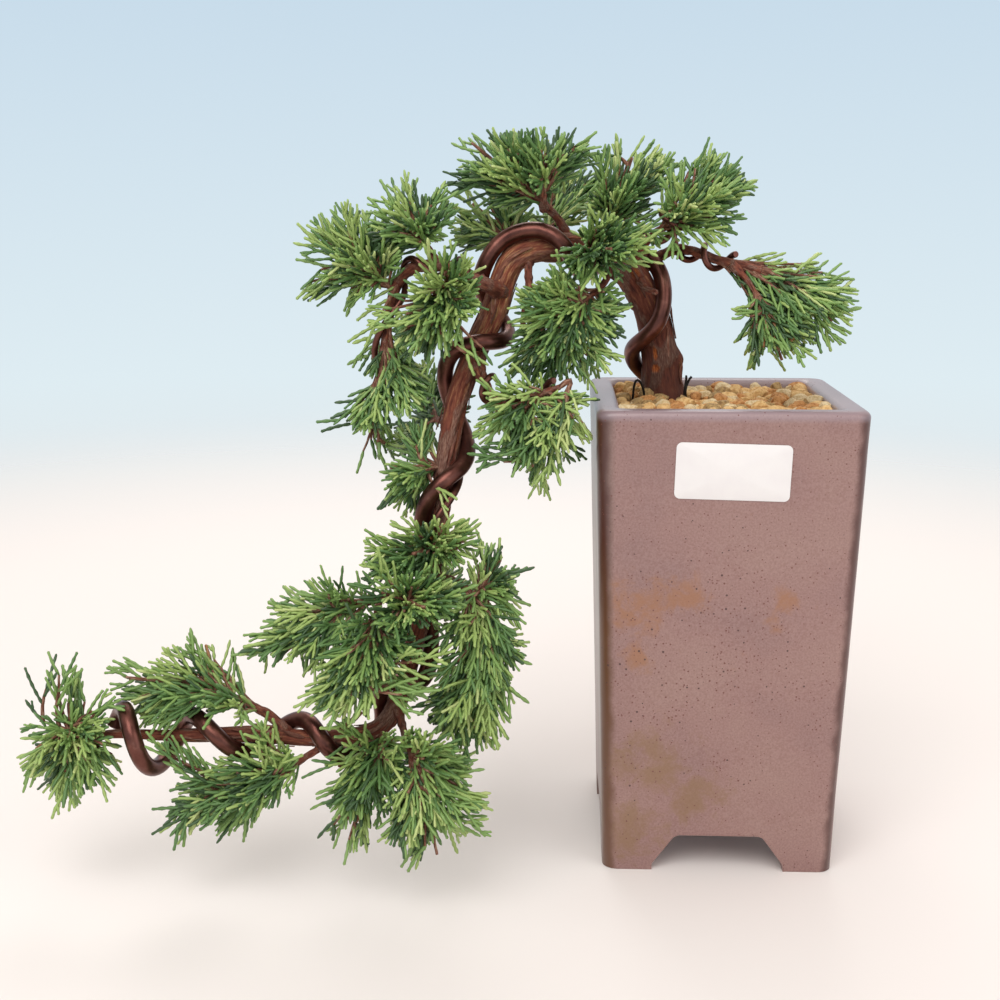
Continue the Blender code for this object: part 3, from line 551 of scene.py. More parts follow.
inside = pot_half(SOIL_LEVEL) - POT_WALL
ball, ball_tris = icosphere(BALL_LEVELS)
rng = random.Random(GRAIN_SEED)
grains, grain_tris, grain_picks = [], [], []
stone_shares = [part for _, _, part in GRAIN_STONES]
columns = np.linspace(-1, 1, int(2 * (inside - 1.8) / GRAIN_SPACING) + 1) * (inside - GRAIN_MARGIN)
for layer in (0, 1):
    for column in columns:
        for row in columns:
            x = column + rng.uniform(-GRAIN_SCATTER, GRAIN_SCATTER)
            y = row + rng.uniform(-GRAIN_SCATTER, GRAIN_SCATTER)
            size = rng.uniform(*GRAIN_SIZES)
            heap = HEAP_HEIGHT * math.exp(-(math.dist((x, y), HEAP_MIDDLE) / HEAP_REACH) ** 2)
            if layer and rng.random() < LAYER_GAPS:
                continue
            x, y = (max(-inside + size * 0.9, min(inside - size * 0.9, v)) for v in (x, y))
            jitter = rng.uniform(-LAYER_JITTER, LAYER_JITTER)
            z = SOIL_LEVEL + LAYER_START + layer * LAYER_RISE + jitter + heap
            grain_tris.append(ball_tris + len(ball) * len(grains))
            grains.append(crushed(ball, size, rng) + [x, y, z])
            stone = rng.choices(range(len(GRAIN_STONES)), stone_shares)[0]
            grain_picks.append(np.full(len(ball_tris), stone))
grit = array_mesh("grit_grains", np.vstack(grains), (), np.vstack(grain_tris), grit_finishes,
                  np.concatenate(grain_picks))
grit.data.set_sharp_from_angle(angle=math.radians(GRAIN_CREASE))
bed_rings = [pot_ring(pot_half(POT_FLOOR) - POT_WALL - 0.5, POT_INNER_CORNER, POT_FLOOR + BED_GAP),
             pot_ring(inside - BED_GAP, POT_INNER_CORNER, SOIL_LEVEL - BED_DEPTH)]
bed = outwards(array_mesh("grit_bed", *bridged(bed_rings), materials=[grit_finishes[3]]))
bed.data.set_sharp_from_angle(angle=math.radians(BED_CREASE))
for piece in (grit, bed):
    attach(piece, "root")
    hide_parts("soil")

# ------------------------------------------------------------------ trunk
# Old juniper wood with its root flare, a branch stub and a pruning scar. The bark is stringy: long
# twisted strips of red-brown cork, split and lifting, over smooth orange inner bark.
TRUNK = [
    (-20, 8, 168.8, 14.0),
    (-25, 5, 200, 12.2),
    (-38, 0, 221, 10.6),
    (-60, -4, 227, 10.0),
    (-77, -8, 222, 9.5),
    (-85, -13, 202, 9.0),
    (-96, -22, 177, 8.0),
    (-101, -32, 149, 7.0),
    (-103, -41, 122, 6.0),
    (-109, -48, 97, 6.2),
    (-116, -56, 71, 6.4),
    (-125, -60, 60, 6.2),
    (-144, -62, 58, 5.8),
    (-168, -64, 60, 5.4),
    (-190, -66, 60, 4.3),
    (-212, -68, 61, 3.2),
    (-223, -68, 60, 2.3),
]
TRUNK_NODES = ("trunk_foot", "trunk_arch", "trunk_drop", "trunk_tail")
TRUNK_RING = 0.9
TRUNK_SIDES = 84
TRUNK_SUNK = 5            # how far its first ring is below the grit
BARK_SEED = 40
BARK_RIDGE = 0.06
ROOT_FLARE, ROOT_FLARE_RISE = 2.6, 7
KNOB_SIZE, KNOB_HEIGHT, KNOB_ANGLE = 2.4, 16, -1.35
STRIP_HEIGHT = 0.34       # relief of the bark's strips on the thickest wood
FLAKE_HEIGHT = 0.62
WORN_SHARE, WORN_MIDDLE, WORN_REACH = 0.55, 118, 34       # the smooth peeled stretch of the drop
DARK_FOOT = 34            # how far up the trunk its darker foot reaches
SCARS = (                 # distance from the grit, angle, half length and half width
    (14.2, 0.35, 1.5, 1.4), (20.0, 0.3, 2.6, 0.7), (52.0, -0.25, 1.7, 1.5),
)
FINE = 40                 # places read on a curve for each of its points
NEARBY = 0.05             # step between two places that give a curve's direction
UP, FRONT = Vector((0, 0, 1)), Vector((0, -1, 0))


def catmull(points, place):
    """Read a smooth curve through points (of any length) at a place counted in points."""
    last = len(points) - 1
    i = min(int(place), last - 1)
    t = place - i
    a, b, c, d = (np.array(points[min(max(k, 0), last)], float) for k in (i - 1, i, i + 1, i + 2))
    square, cube = 2 * a - 5 * b + 4 * c - d, 3 * b - a - 3 * c + d
    return 0.5 * (2 * b + (c - a) * t + square * t**2 + cube * t**3)


def evenly(line, fine, step):
    """Places whose points on a line are about `step` apart, from fine places and their points."""
    along = np.concatenate([[0], np.cumsum(np.linalg.norm(np.diff(line, axis=0), axis=1))])
    count = max(2, round(along[-1] / step))
    return list(np.interp(np.linspace(0, along[-1], count + 1), along, fine))


def stations(points, start, end, step):
    """Places on the curve through points, from start to end, about `step` apart."""
    fine = np.linspace(start, end, FINE * len(points))
    return evenly([catmull(points, p)[:3] for p in fine], fine, step)


def trunk_frame(place):
    """Middle, front, side and radius of the trunk at a place on its list."""
    at = catmull(TRUNK, place)
    before = Vector(catmull(TRUNK, max(place - NEARBY, 0))[:3])
    after = Vector(catmull(TRUNK, min(place + NEARBY, len(TRUNK) - 1))[:3])
    tangent = (after - before).normalized()
    front = (FRONT - tangent * FRONT.dot(tangent)).normalized()
    return Vector(at[:3]), front, front.cross(tangent), at[3] / 2


def over_soil(at, place):
    """Height over the grit at a place on the trunk, and far up for all places past its foot."""
    return at.z - SOIL_LEVEL if place < 2 else 99


def aside(angles, middle):
    """How far each angle is from a middle one, from -pi to pi."""
    return np.remainder(angles - middle + math.pi, 2 * math.pi) - math.pi


def around(at, front, side, turn, reach):
    """Points round a place on a line, each at its own reach or all at the same."""
    out = np.outer(np.cos(turn), np.array(front)) + np.outer(np.sin(turn), np.array(side))
    return np.array(at) + out * np.reshape(reach, (-1, 1))


def strips(angle, along, seed, flaky=1.0):
    """Height of stringy bark, in shares of its relief, and how far each point lies on a lifted flake."""
    twist = angle / (2 * math.pi) + along * 0.0035

    def wave(count, length, layer, shift=0):
        """Strips, so many round the limb and about so long, in millimetres."""
        return ripple(twist * count + shift, along / length, count, seed + layer)

    warp = wave(6, 17, 0) * 0.35
    fine = 1 - np.abs(wave(30, 9, 1, warp * 3)) * 2
    broad = 1 - np.abs(wave(13, 21, 2, warp * 2)) * 2
    flakes = wave(9, 12, 3, warp) + 0.45 * wave(22, 5, 4)
    flake = np.clip((flakes * flaky - 0.02) / 0.14, 0, 1)
    flake = flake * flake * (3 - 2 * flake)
    return 0.45 * fine + 0.55 * broad + 0.12 * wave(48, 2.2, 5), flake


class Joined:
    """Tubes gathered into one mesh, with their attributes."""

    def __init__(self):
        self.points, self.quads, self.tris, self.rows, self.count = [], [], [], {}, 0

    def tube(self, rings, **rows):
        """Add a tube. Each row has a value for every point of a ring, and the ends repeat theirs."""
        points, quads, tris = bridged(rings)
        self.points.append(points)
        self.quads.append(quads + self.count)
        self.tris.append(tris + self.count)
        self.count += len(points)
        for key, row in rows.items():
            row = np.asarray(row, np.float32)
            flat = row.reshape(-1, *row.shape[2:])
            self.rows.setdefault(key, []).append(np.concatenate([flat, flat[:1], flat[-1:]]))

    def piece(self, name, made):
        obj = array_mesh(name, *(np.vstack(part) for part in (self.points, self.quads, self.tris)), [made])
        for key, rows in self.rows.items():
            flat = np.concatenate(rows)
            store = obj.data.attributes.new(key, "FLOAT_VECTOR" if flat.ndim > 1 else "FLOAT", "POINT")
            store.data.foreach_set("vector" if flat.ndim > 1 else "value", flat.ravel())
        return outwards(obj)


def bark_grain(turn, radius, along):
    """Places in the bark's own space, in which its streaks run along the limb."""
    return np.stack([np.cos(turn) * radius, np.sin(turn) * radius, np.full(len(turn), along)], axis=1)


def attribute(tree, name, output="Fac"):
    """A value that was stored on the points of a mesh."""
    return add(tree, "ShaderNodeAttribute", {"attribute_name": name}).outputs[output]


# Juniper bark: dull and fibrous, with painted shade in the splits, red-brown on the strips, greyer
# on the old flakes and orange where the strips have come off.
bark, tree, shader = finish("stringy_juniper_bark", Roughness=0.82, IOR=1.4)
run = attribute(tree, "grain", "Vector")
streaks = noise(tree, run, 1.1, 5.0, 0.65)
strands = noise(tree, run, 3.6, 4.0)
cork = ramp(tree, streaks, (0.3, "#45201A"), (0.44, "#6E382A"), (0.58, "#824735"), (0.74, "#A97850"))
old = ramp(tree, strands, (0.35, "#4A342C"), (0.52, "#75574A"), (0.7, "#9A8272"))
bare = ramp(tree, streaks, (0.36, "#74382A"), (0.5, "#8E4E39"), (0.58, "#A9744F"), (0.68, "#C49A6C"))
wound = ramp(tree, strands, (0.38, "#6E3118"), (0.6, "#B4642F"))
tint = over(tree, attribute(tree, "peeled"), cork, bare)
tint = over(tree, maths(tree, "MULTIPLY", attribute(tree, "flake"), 0.7), tint, old)
# painted shade: the low places of the relief, the splits, go near black
tint = over(tree, share(tree, attribute(tree, "relief"), 0.1, -0.75, 0.78), tint, "#2A120D")
# darker towards the foot of the trunk
tint = over(tree, maths(tree, "MULTIPLY", attribute(tree, "foot"), 0.62), tint, "#2E1812")
tint = over(tree, attribute(tree, "scar"), tint, wound)
feed(shader, Base_Color=tint, Normal=bump(tree, strands, 0.6, 0.3))

angles = turns(TRUNK_SIDES)
rings, limb_points = [], []
rows = {"grain": [], "relief": [], "flake": [], "scar": [], "foot": [], "peeled": []}
travelled, before = 0.0, None
for index, place in enumerate([0.0, *stations(TRUNK, 0, len(TRUNK) - 1, TRUNK_RING)]):
    at, front, side, radius = trunk_frame(place)
    if place == 0:
        front, side = FRONT.copy(), Vector((-1, 0, 0))
    if index == 0:
        at = at - UP * TRUNK_SUNK
    if before is not None:
        travelled += (at - before).length
    before = at
    height = over_soil(at, place)
    ridges = np.sin(3 * angles + place * 3.3) + 0.6 * np.sin(5 * angles - place * 2.1)
    grown = radius * (1 + BARK_RIDGE * ridges / 1.6)
    flare = ROOT_FLARE * math.exp(-max(height, 0) / ROOT_FLARE_RISE)
    grown = grown + flare * (0.7 + 0.3 * np.cos(4 * angles + 1))
    knob = np.exp(-(aside(angles, KNOB_ANGLE) / 0.5) ** 2 - ((height - KNOB_HEIGHT) / 4) ** 2)
    grown = grown + KNOB_SIZE * knob
    worn = 1 - WORN_SHARE * np.exp(-((travelled - WORN_MIDDLE) / WORN_REACH) ** 2)
    heights, flake = strips(angles, travelled, BARK_SEED, worn)
    scale = min(1.0, radius / 5.0)
    relief = STRIP_HEIGHT * scale * heights + FLAKE_HEIGHT * scale * flake * worn
    scar = np.zeros(TRUNK_SIDES)
    for scar_at, scar_angle, scar_long, scar_wide in SCARS:
        far = np.sqrt((aside(angles, scar_angle) * radius / scar_wide) ** 2
                      + ((travelled - TRUNK_SUNK - scar_at) / scar_long) ** 2)
        cut = np.clip((1.1 - far) / 0.25, 0, 1)
        callus = np.exp(-((far - 1.2) / 0.22) ** 2)
        scar = np.maximum(scar, cut)
        relief = relief * (1 - 0.8 * cut) + 0.55 * callus
    rings.append(around(at, front, side, angles, grown + relief - 0.25 * scale))
    rows["grain"].append(bark_grain(angles, radius, travelled * 0.16))
    rows["relief"].append(relief / (STRIP_HEIGHT * scale))
    rows["flake"].append(flake * worn)
    rows["scar"].append(scar)
    rows["foot"].append(np.full(TRUNK_SIDES, math.exp(-(travelled / DARK_FOOT) ** 2)))
    rows["peeled"].append(np.full(TRUNK_SIDES, 1 - worn) / WORN_SHARE)
    limb_points.append((*at, radius * 1.06))
tube = Joined()
tube.tube(rings, **rows)
trunk = tube.piece("trunk_bark", bark)
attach(trunk, "root")
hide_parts(*TRUNK_NODES)

# ------------------------------------------------------------------ boughs
# Side limbs grow out of the trunk's wood and taper to where each mass of foliage starts. Their
# younger bark is scaly and grey-brown, with a collar where it joins the trunk.
BOUGHS = {   # route from inside the parent, first and last diameter
    "bough_apex": ([(-56, -1, 227), (-61, -3, 237), (-70, -10, 245), (-79, -12, 252)], 3.4, 1.8),
    "bough_apex_right": ([(-66, -7, 241), (-66, -15, 245), (-65, -19, 255)], 2.2, 1.4),
    "bough_right": ([(-33, 4, 214), (-26, 9, 221), (-16, 1, 226), (-4, -9, 223), (12, -14, 219)], 4.0, 3.0),
    "bough_right_down": ([(2, -12, 221), (8, -17, 214), (11, -20, 208)], 2.0, 1.4),
    "bough_right_upper": ([(-34, 1, 218), (-28, -6, 230), (-21, -14, 236), (-14, -16, 241)], 3.0, 1.8),
    "bough_under": ([(-90, -17, 189), (-86, -30, 180), (-79, -36, 174), (-60, -38, 180)], 3.4, 2.0),
    "bough_hang": ([(-42, -1, 222), (-44, -14, 215), (-52, -21, 208), (-58, -23, 202)], 2.8, 1.8),
    "bough_left": ([(-82, -12, 211), (-88, -22, 215), (-102, -21, 221), (-118, -20, 215), (-125, -24, 179)],
                   5.0, 2.8),
    "bough_left_top": ([(-104, -18, 221), (-107, -21, 227), (-110, -22, 232)], 2.4, 1.6),
    "bough_low_left": ([(-107, -45, 105), (-120, -57, 108), (-134, -62, 106), (-144, -64, 103)], 3.4, 1.8),
    "bough_low_right": ([(-105, -44, 112), (-95, -53, 113), (-88, -58, 106), (-86, -60, 93)], 3.0, 1.8),
    "bough_bottom": ([(-117, -57, 69), (-112, -69, 60), (-107, -76, 49)], 3.0, 1.8),
    "bough_tail_upper": ([(-155, -62, 59), (-161, -62, 66), (-170, -62, 71), (-180, -62, 76)], 3.6, 2.1),
    "bough_tail_lower": ([(-138, -62, 58), (-149, -66, 52), (-162, -70, 43)], 2.6, 2.0),
    "bough_back_top": ([(-62, -4, 227), (-66, 16, 232), (-64, 27, 236)], 3.0, 1.8),
    "bough_back_drop": ([(-99, -26, 165), (-105, -6, 163), (-109, 6, 162)], 3.0, 1.8),
}
BOUGH_RING = 0.7
BOUGH_SIDES = 22
BOUGH_COLLAR, BOUGH_COLLAR_REACH = 0.9, 2.5   # extra radius where a bough leaves its parent
BOUGH_RELIEF = 0.2
BOUGH_SEED = 300


def frames(line):
    """Tangent, front and side directions along a line, turning as little as they can."""
    found = []
    front = FRONT
    for i in range(len(line)):
        tangent = (line[min(i + 1, len(line) - 1)] - line[max(i - 1, 0)]).normalized()
        if abs(front.dot(tangent)) > 0.97:
            front = UP
        front = (front - tangent * front.dot(tangent)).normalized()
        found.append((tangent, front, front.cross(tangent)))
    return found


def smooth_line(route, step, start=0.0):
    """Points about `step` apart on the curve through a route."""
    return [Vector(catmull(route, p)) for p in stations(route, start, len(route) - 1, step)]


def tapered(first, last, count):
    """Radii that run evenly from one to another."""
    return [first + (last - first) * i / (count - 1) for i in range(count)]


def bark_tube(joined, line, radii, sides, relief, seed):
    """Add a scaly limb along a line to a joined mesh."""
    turn = turns(sides)
    along = np.concatenate([[0], np.cumsum([(b - a).length for a, b in zip(line, line[1:])])])
    rings, grain, heights, flakes = [], [], [], []
    for at, radius, run, (_, front, side) in zip(line, radii, along, frames(line)):
        strip = 1 - np.abs(ripple(turn / (2 * math.pi) * 10 + run * 0.02, run / 6, 10, seed)) * 2
        scale = ripple(turn / (2 * math.pi) * 7, run / 1.7, 7, seed + 1)
        height = 0.5 * strip + 0.7 * scale
        rings.append(around(at, front, side, turn, radius * (1 + relief * height)))
        grain.append(bark_grain(turn, radius, run * 0.3 + seed))
        heights.append(height)
        flakes.append(np.clip(scale * 2, 0, 1))
    joined.tube(rings, grain=grain, relief=heights, flake=flakes, scar=np.zeros((len(line), sides)))


boughs = Joined()
for number, (route, first, last) in enumerate(BOUGHS.values()):
    line = smooth_line(route, BOUGH_RING)
    radii = [radius + BOUGH_COLLAR * math.exp(-max(i * BOUGH_RING - first, 0) / BOUGH_COLLAR_REACH)
             for i, radius in enumerate(tapered(first / 2, last / 2, len(line)))]
    bark_tube(boughs, line, radii, BOUGH_SIDES, BOUGH_RELIEF, BOUGH_SEED + 7 * number)
    limb_points.extend((*p, r) for p, r in zip(line[::3], radii[::3]))
limbs = boughs.piece("bough_bark", bark)
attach(limbs, "root")
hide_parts(*BOUGHS)

# ------------------------------------------------------------------ wires
# Soft anodised aluminium wire holds the curve: one 6 mm wire wound from the soil to the tail, a
# 3 mm one beside it on the drop, and 2.4 mm wires on four boughs. The ends are nipped off square.
WIRE = 6.0
WIRE_WINDING = [   # place on the trunk's list, angle round it in degrees (0 is the front), slack
    (0.06, 205, 0),
    (0.65, 90, 0),
    (1.0, 0, 0),
    (1.7, -100, 0),
    (3.0, -360, 0),
    (3.75, -432, 0),
    (4.5, -465, 0),
    (5.15, -630, 0),
    (5.75, -810, 0),
    (6.78, -990, 0),
    (7.7, -1170, 0),
    (9.5, -1350, 0),
    (9.95, -1530, 0),
    (11.45, -1710, 0),
    (12.2, -1890, 0),
    (13.0, -2070, 0),
    (13.8, -2250, 0.5),
    (14.4, -2430, 6),
    (14.95, -2610, 4),
    (15.3, -2690, 0.5),
]
WIRES = {   # the parent, the diameter, the winding and the CAD nodes that it stands for
    "wire_thick": ("trunk", WIRE, WIRE_WINDING, ("wire_foot", "wire_arch", "wire_drop", "wire_tail")),
    "wire_beside": ("trunk", 3.0, [(6.95, -960, 0), (7.56, -1080, 0), (7.95, -1140, 0)], ("wire_second",)),
    "wire_on_right": ("bough_right", 2.4, [(1.9, 90, 0.3), (3.35, -620, 0.3)], ("wire_right",)),
    "wire_on_right_upper": ("bough_right_upper", 2.4, [(1.0, 90, 1.0), (2.9, -640, 2.5)],
                            ("wire_right_upper",)),
    "wire_on_under": ("bough_under", 2.4, [(0.9, 90, 0.4), (2.9, -640, 0.4)], ("wire_under",)),
    "wire_on_left": ("bough_left", 2.4, [(0.8, 210, 0.3), (3.8, -870, 0.3)], ("wire_left",)),
}
WIRE_GAP = 0.3            # between a wire and the bark
WIRE_RING = 0.8
WIRE_SIDES = 28
WIRE_FINE = 60            # places read on a winding for each of its points
WIRE_CREASE = 50
NIP_OUT, NIP_WIDTH = 0.35, 0.86   # the flat of a nipped end: how far out and how wide


def parent_frame(parent, place):
    """Middle, front, side and radius of the limb that a wire is wound on."""
    if parent == "trunk":
        return trunk_frame(place)
    route, first, last = BOUGHS[parent]
    near = [Vector(catmull(route, min(max(place + d, 0), len(route) - 1))) for d in (-0.1, 0, 0.1)]
    tangent = (near[2] - near[0]).normalized()
    front = (FRONT - tangent * FRONT.dot(tangent)).normalized()
    radius = (first + (last - first) * place / (len(route) - 1)) / 2
    return near[1], front, front.cross(tangent), radius


def winding_line(parent, winding, thickness, step):
    """Points on a wire wound round its parent."""
    def on_wire(place):
        at_place, angle, slack = catmull(winding, place)
        at, front, side, radius = parent_frame(parent, at_place)
        if parent == "trunk":
            flare = ROOT_FLARE * math.exp(-over_soil(at, at_place) / ROOT_FLARE_RISE)
            radius = radius * (1 + BARK_RIDGE) + flare
        turn = math.radians(angle)
        reach = radius + WIRE_GAP + thickness / 2 + max(slack, 0)
        return at + (front * math.cos(turn) + side * math.sin(turn)) * reach

    fine = np.linspace(0, len(winding) - 1, WIRE_FINE * len(winding))
    return [on_wire(p) for p in evenly([on_wire(p) for p in fine], fine, step)]


# Anodised aluminium: metal seen through a thin dyed oxide, so highlights are soft and pinkish
# and the turned-away sides go dark wine brown. Rubbed places are a little brighter.
anodised, tree, shader = finish("anodised_aluminium_copper_brown", Metallic=0.88)
where = object_place(tree)
rubbed = noise(tree, where, 1 / (7 * MM), 5.0, 0.6)
feed(shader, Base_Color=ramp(tree, rubbed, (0.35, "#52302A"), (0.6, "#6F463D"), (0.8, "#966B5E")),
     Roughness=share(tree, rubbed, 0.3, 0.7, 0.4, 0.26),
     Normal=bump(tree, noise(tree, where, 1 / (0.7 * MM), 3.0), 0.12, 0.1))

for name, (parent, thickness, winding, nodes) in WIRES.items():
    line = winding_line(parent, winding, thickness, WIRE_RING)
    turned = frames(line)
    flats = (0, -NIP_OUT, NIP_WIDTH), (len(line) - 1, NIP_OUT, NIP_WIDTH)
    rings = []
    for i, lean, trim in (flats[0], *((i, 0.0, 1.0) for i in range(len(line))), flats[1]):
        tangent, front, side = turned[i]
        rings.append(around(line[i] + tangent * lean, front, side, turns(WIRE_SIDES), thickness / 2 * trim))
    if name == "wire_thick":
        for ring in rings[:2]:   # its foot goes straight into the grit
            ring[:, 2] = SOIL_LEVEL - 1
    wire = outwards(array_mesh(name, *bridged(rings), materials=[anodised]))
    wire.data.set_sharp_from_angle(angle=math.radians(WIRE_CREASE))
    limb_points.extend((*p, thickness / 2) for p in line[::2])
    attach(wire, "root")
    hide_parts(*nodes)

# ------------------------------------------------------------------ loose bark
# Strips of old bark that have split off along the grain and lift at one end, and the scaly stubs
# of twigs that died back inside the crown. They are the trunk's own dry, fibrous bark.
SHRED_COUNT = 64
SHRED_LENGTH = (7, 17)
SHRED_WIDTH = (0.9, 2.3)
SHRED_THICK = 0.45
SHRED_LIFT = (0.3, 1.7)
SHRED_TWIST = 0.5
SHRED_CURL = 1.2
SHRED_STEPS = 12
SHRED_SIDES = 8
SHRED_CLEAR = 0.5         # from the wires
SHRED_FIRST, SHRED_LAST = (0.25, 13.0), len(TRUNK) - 1.2   # where they start, and the end of the wood
SHRED_SEED, STUB_SEED = 77, 700
STUB_RING, STUB_SIDES, STUB_RELIEF = 0.6, 16, 0.36
STUBS = (   # route, first and last diameter
    ([(-71, -7, 224), (-71.5, -13, 218), (-71, -17, 211), (-73, -19, 204.7), (-73.3, -19, 198)], 3.0, 2.0),
    ([(-91, -19, 188), (-90.8, -24, 186), (-88.8, -29, 182.6), (-86.2, -31, 178.6), (-85.2, -30, 174.5)],
     3.6, 1.6),
    ([(-31, -3, 215), (-28, -8, 212), (-25, -11, 211)], 3.0, 1.6),
    ([(-1, -10, 222), (6, -12, 216), (12, -15, 211), (14, -17, 207)], 1.6, 1.1),
    ([(4, -12, 221), (14, -11, 220), (22, -12, 217), (27, -13, 212)], 1.7, 1.1),
    ([(-137, -61, 60), (-132, -66, 66), (-128, -68, 70)], 2.4, 1.4),
)


def shred(start, angle, length, width, lift, twist, curl):
    """Rings and middles of a lifting strip of bark, its place at the end, and its last half width."""
    rings, middles, place = [], [], start
    turn = turns(SHRED_SIDES)
    for k in range(SHRED_STEPS + 1):
        t = k / SHRED_STEPS
        at, front, side, radius = trunk_frame(min(place, SHRED_LAST))
        out = front * math.cos(angle) + side * math.sin(angle)
        across = front * -math.sin(angle) + side * math.cos(angle)
        middle = at + out * (radius * 1.05 + 0.25 + lift * t ** 2.2)
        half = width / 2 * min(1.0, 0.35 + 3 * t, 0.3 + 2.4 * (1 - t)) * min(1.0, radius / 4)
        wide = across * math.cos(curl * t) + out * math.sin(curl * t)
        thick = out * math.cos(curl * t) - across * math.sin(curl * t)
        rings.append(np.array(middle) + np.outer(np.cos(turn) * half, np.array(wide))
                     + np.outer(np.sin(turn) * SHRED_THICK / 2, np.array(thick)))
        middles.append(middle)
        angle += twist / SHRED_STEPS
        ahead = trunk_frame(min(place + NEARBY, SHRED_LAST))[0] - at
        place += NEARBY * (length / SHRED_STEPS) / max(ahead.length, 0.05)
    return rings, np.array(middles), place, half


rng = random.Random(SHRED_SEED)
wire_points = np.array([(*p, thickness / 2) for parent, thickness, winding, _ in WIRES.values()
                        for p in winding_line(parent, winding, thickness, 1.6)])
loose = Joined()
kept = 0
while kept < SHRED_COUNT:
    start, angle = rng.uniform(*SHRED_FIRST), rng.uniform(0, 2 * math.pi)
    length, width, lift = rng.uniform(*SHRED_LENGTH), rng.uniform(*SHRED_WIDTH), rng.uniform(*SHRED_LIFT)
    twist, curl = rng.uniform(-SHRED_TWIST, SHRED_TWIST), rng.uniform(-SHRED_CURL, SHRED_CURL)
    rings, middles, place, half = shred(start, angle, length, width, lift, twist, curl)
    away = np.linalg.norm(middles[:, None, :] - wire_points[None, :, :3], axis=2) - wire_points[:, 3]
    if place > len(TRUNK) - 1.5 or away.min() < SHRED_CLEAR + width / 2:
        continue
    kept += 1
    turn = turns(SHRED_SIDES)
    flat = np.cos(turn) * half, np.sin(turn) * 0.2
    grain = [np.stack([*flat, np.full(SHRED_SIDES, kept * 3.1 + k * 0.12)], axis=1)
             for k in range(SHRED_STEPS + 1)]
    even = np.ones((SHRED_STEPS + 1, SHRED_SIDES))
    loose.tube(rings, grain=grain, relief=even * rng.uniform(-0.5, 0.5), flake=even * rng.uniform(0.2, 1.0),
               scar=even * 0, peeled=even * rng.choice((0.0, 0.0, 1.0)))
for number, (route, first, last) in enumerate(STUBS):
    line = smooth_line(route, STUB_RING)
    radii = tapered(first / 2, last / 2, len(line))
    bark_tube(loose, line, radii, STUB_SIDES, STUB_RELIEF, STUB_SEED + number)
    loose.rows["peeled"].append(np.zeros(len(line) * STUB_SIDES + 2, np.float32))
shreds = loose.piece("loose_bark", bark)
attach(shreds, "root")
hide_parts(*TRUNK_NODES)

# ------------------------------------------------------------------ tie wire
# The black annealed wire that holds the root ball in its pot, twisted off just above the grit.
# It is thinner than the wires on the tree, and its soft oxide skin is dull.
TIE_THICK = 0.9
TIE_RING, TIE_SIDES = 0.5, 10
TIES = (
    [(-33, -1, 166), (-32.4, -2, 171.5), (-32.1, -3, 175.8), (-31.1, -4, 178.2), (-29.2, -3, 176.2),
     (-27.5, -1, 170)],
    [(-13, 2, 166), (-13, 0, 173.2), (-12.5, 0, 177.8), (-12.6, -1, 179.4)],
    [(-11, 3, 166), (-12.6, 0, 173), (-11.6, 1, 177), (-10.4, 1, 179)],
)
annealed, _, _ = finish("black_annealed_wire", Base_Color=linear("#1E1A19"), Metallic=0.6, Roughness=0.5)
ties = Joined()
for route in TIES:
    line = smooth_line(route, TIE_RING)
    ties.tube([around(at, front, side, turns(TIE_SIDES), TIE_THICK / 2)
               for at, (_, front, side) in zip(line, frames(line))])
tie_wire = ties.piece("tie_wire", annealed)
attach(tie_wire, "root")

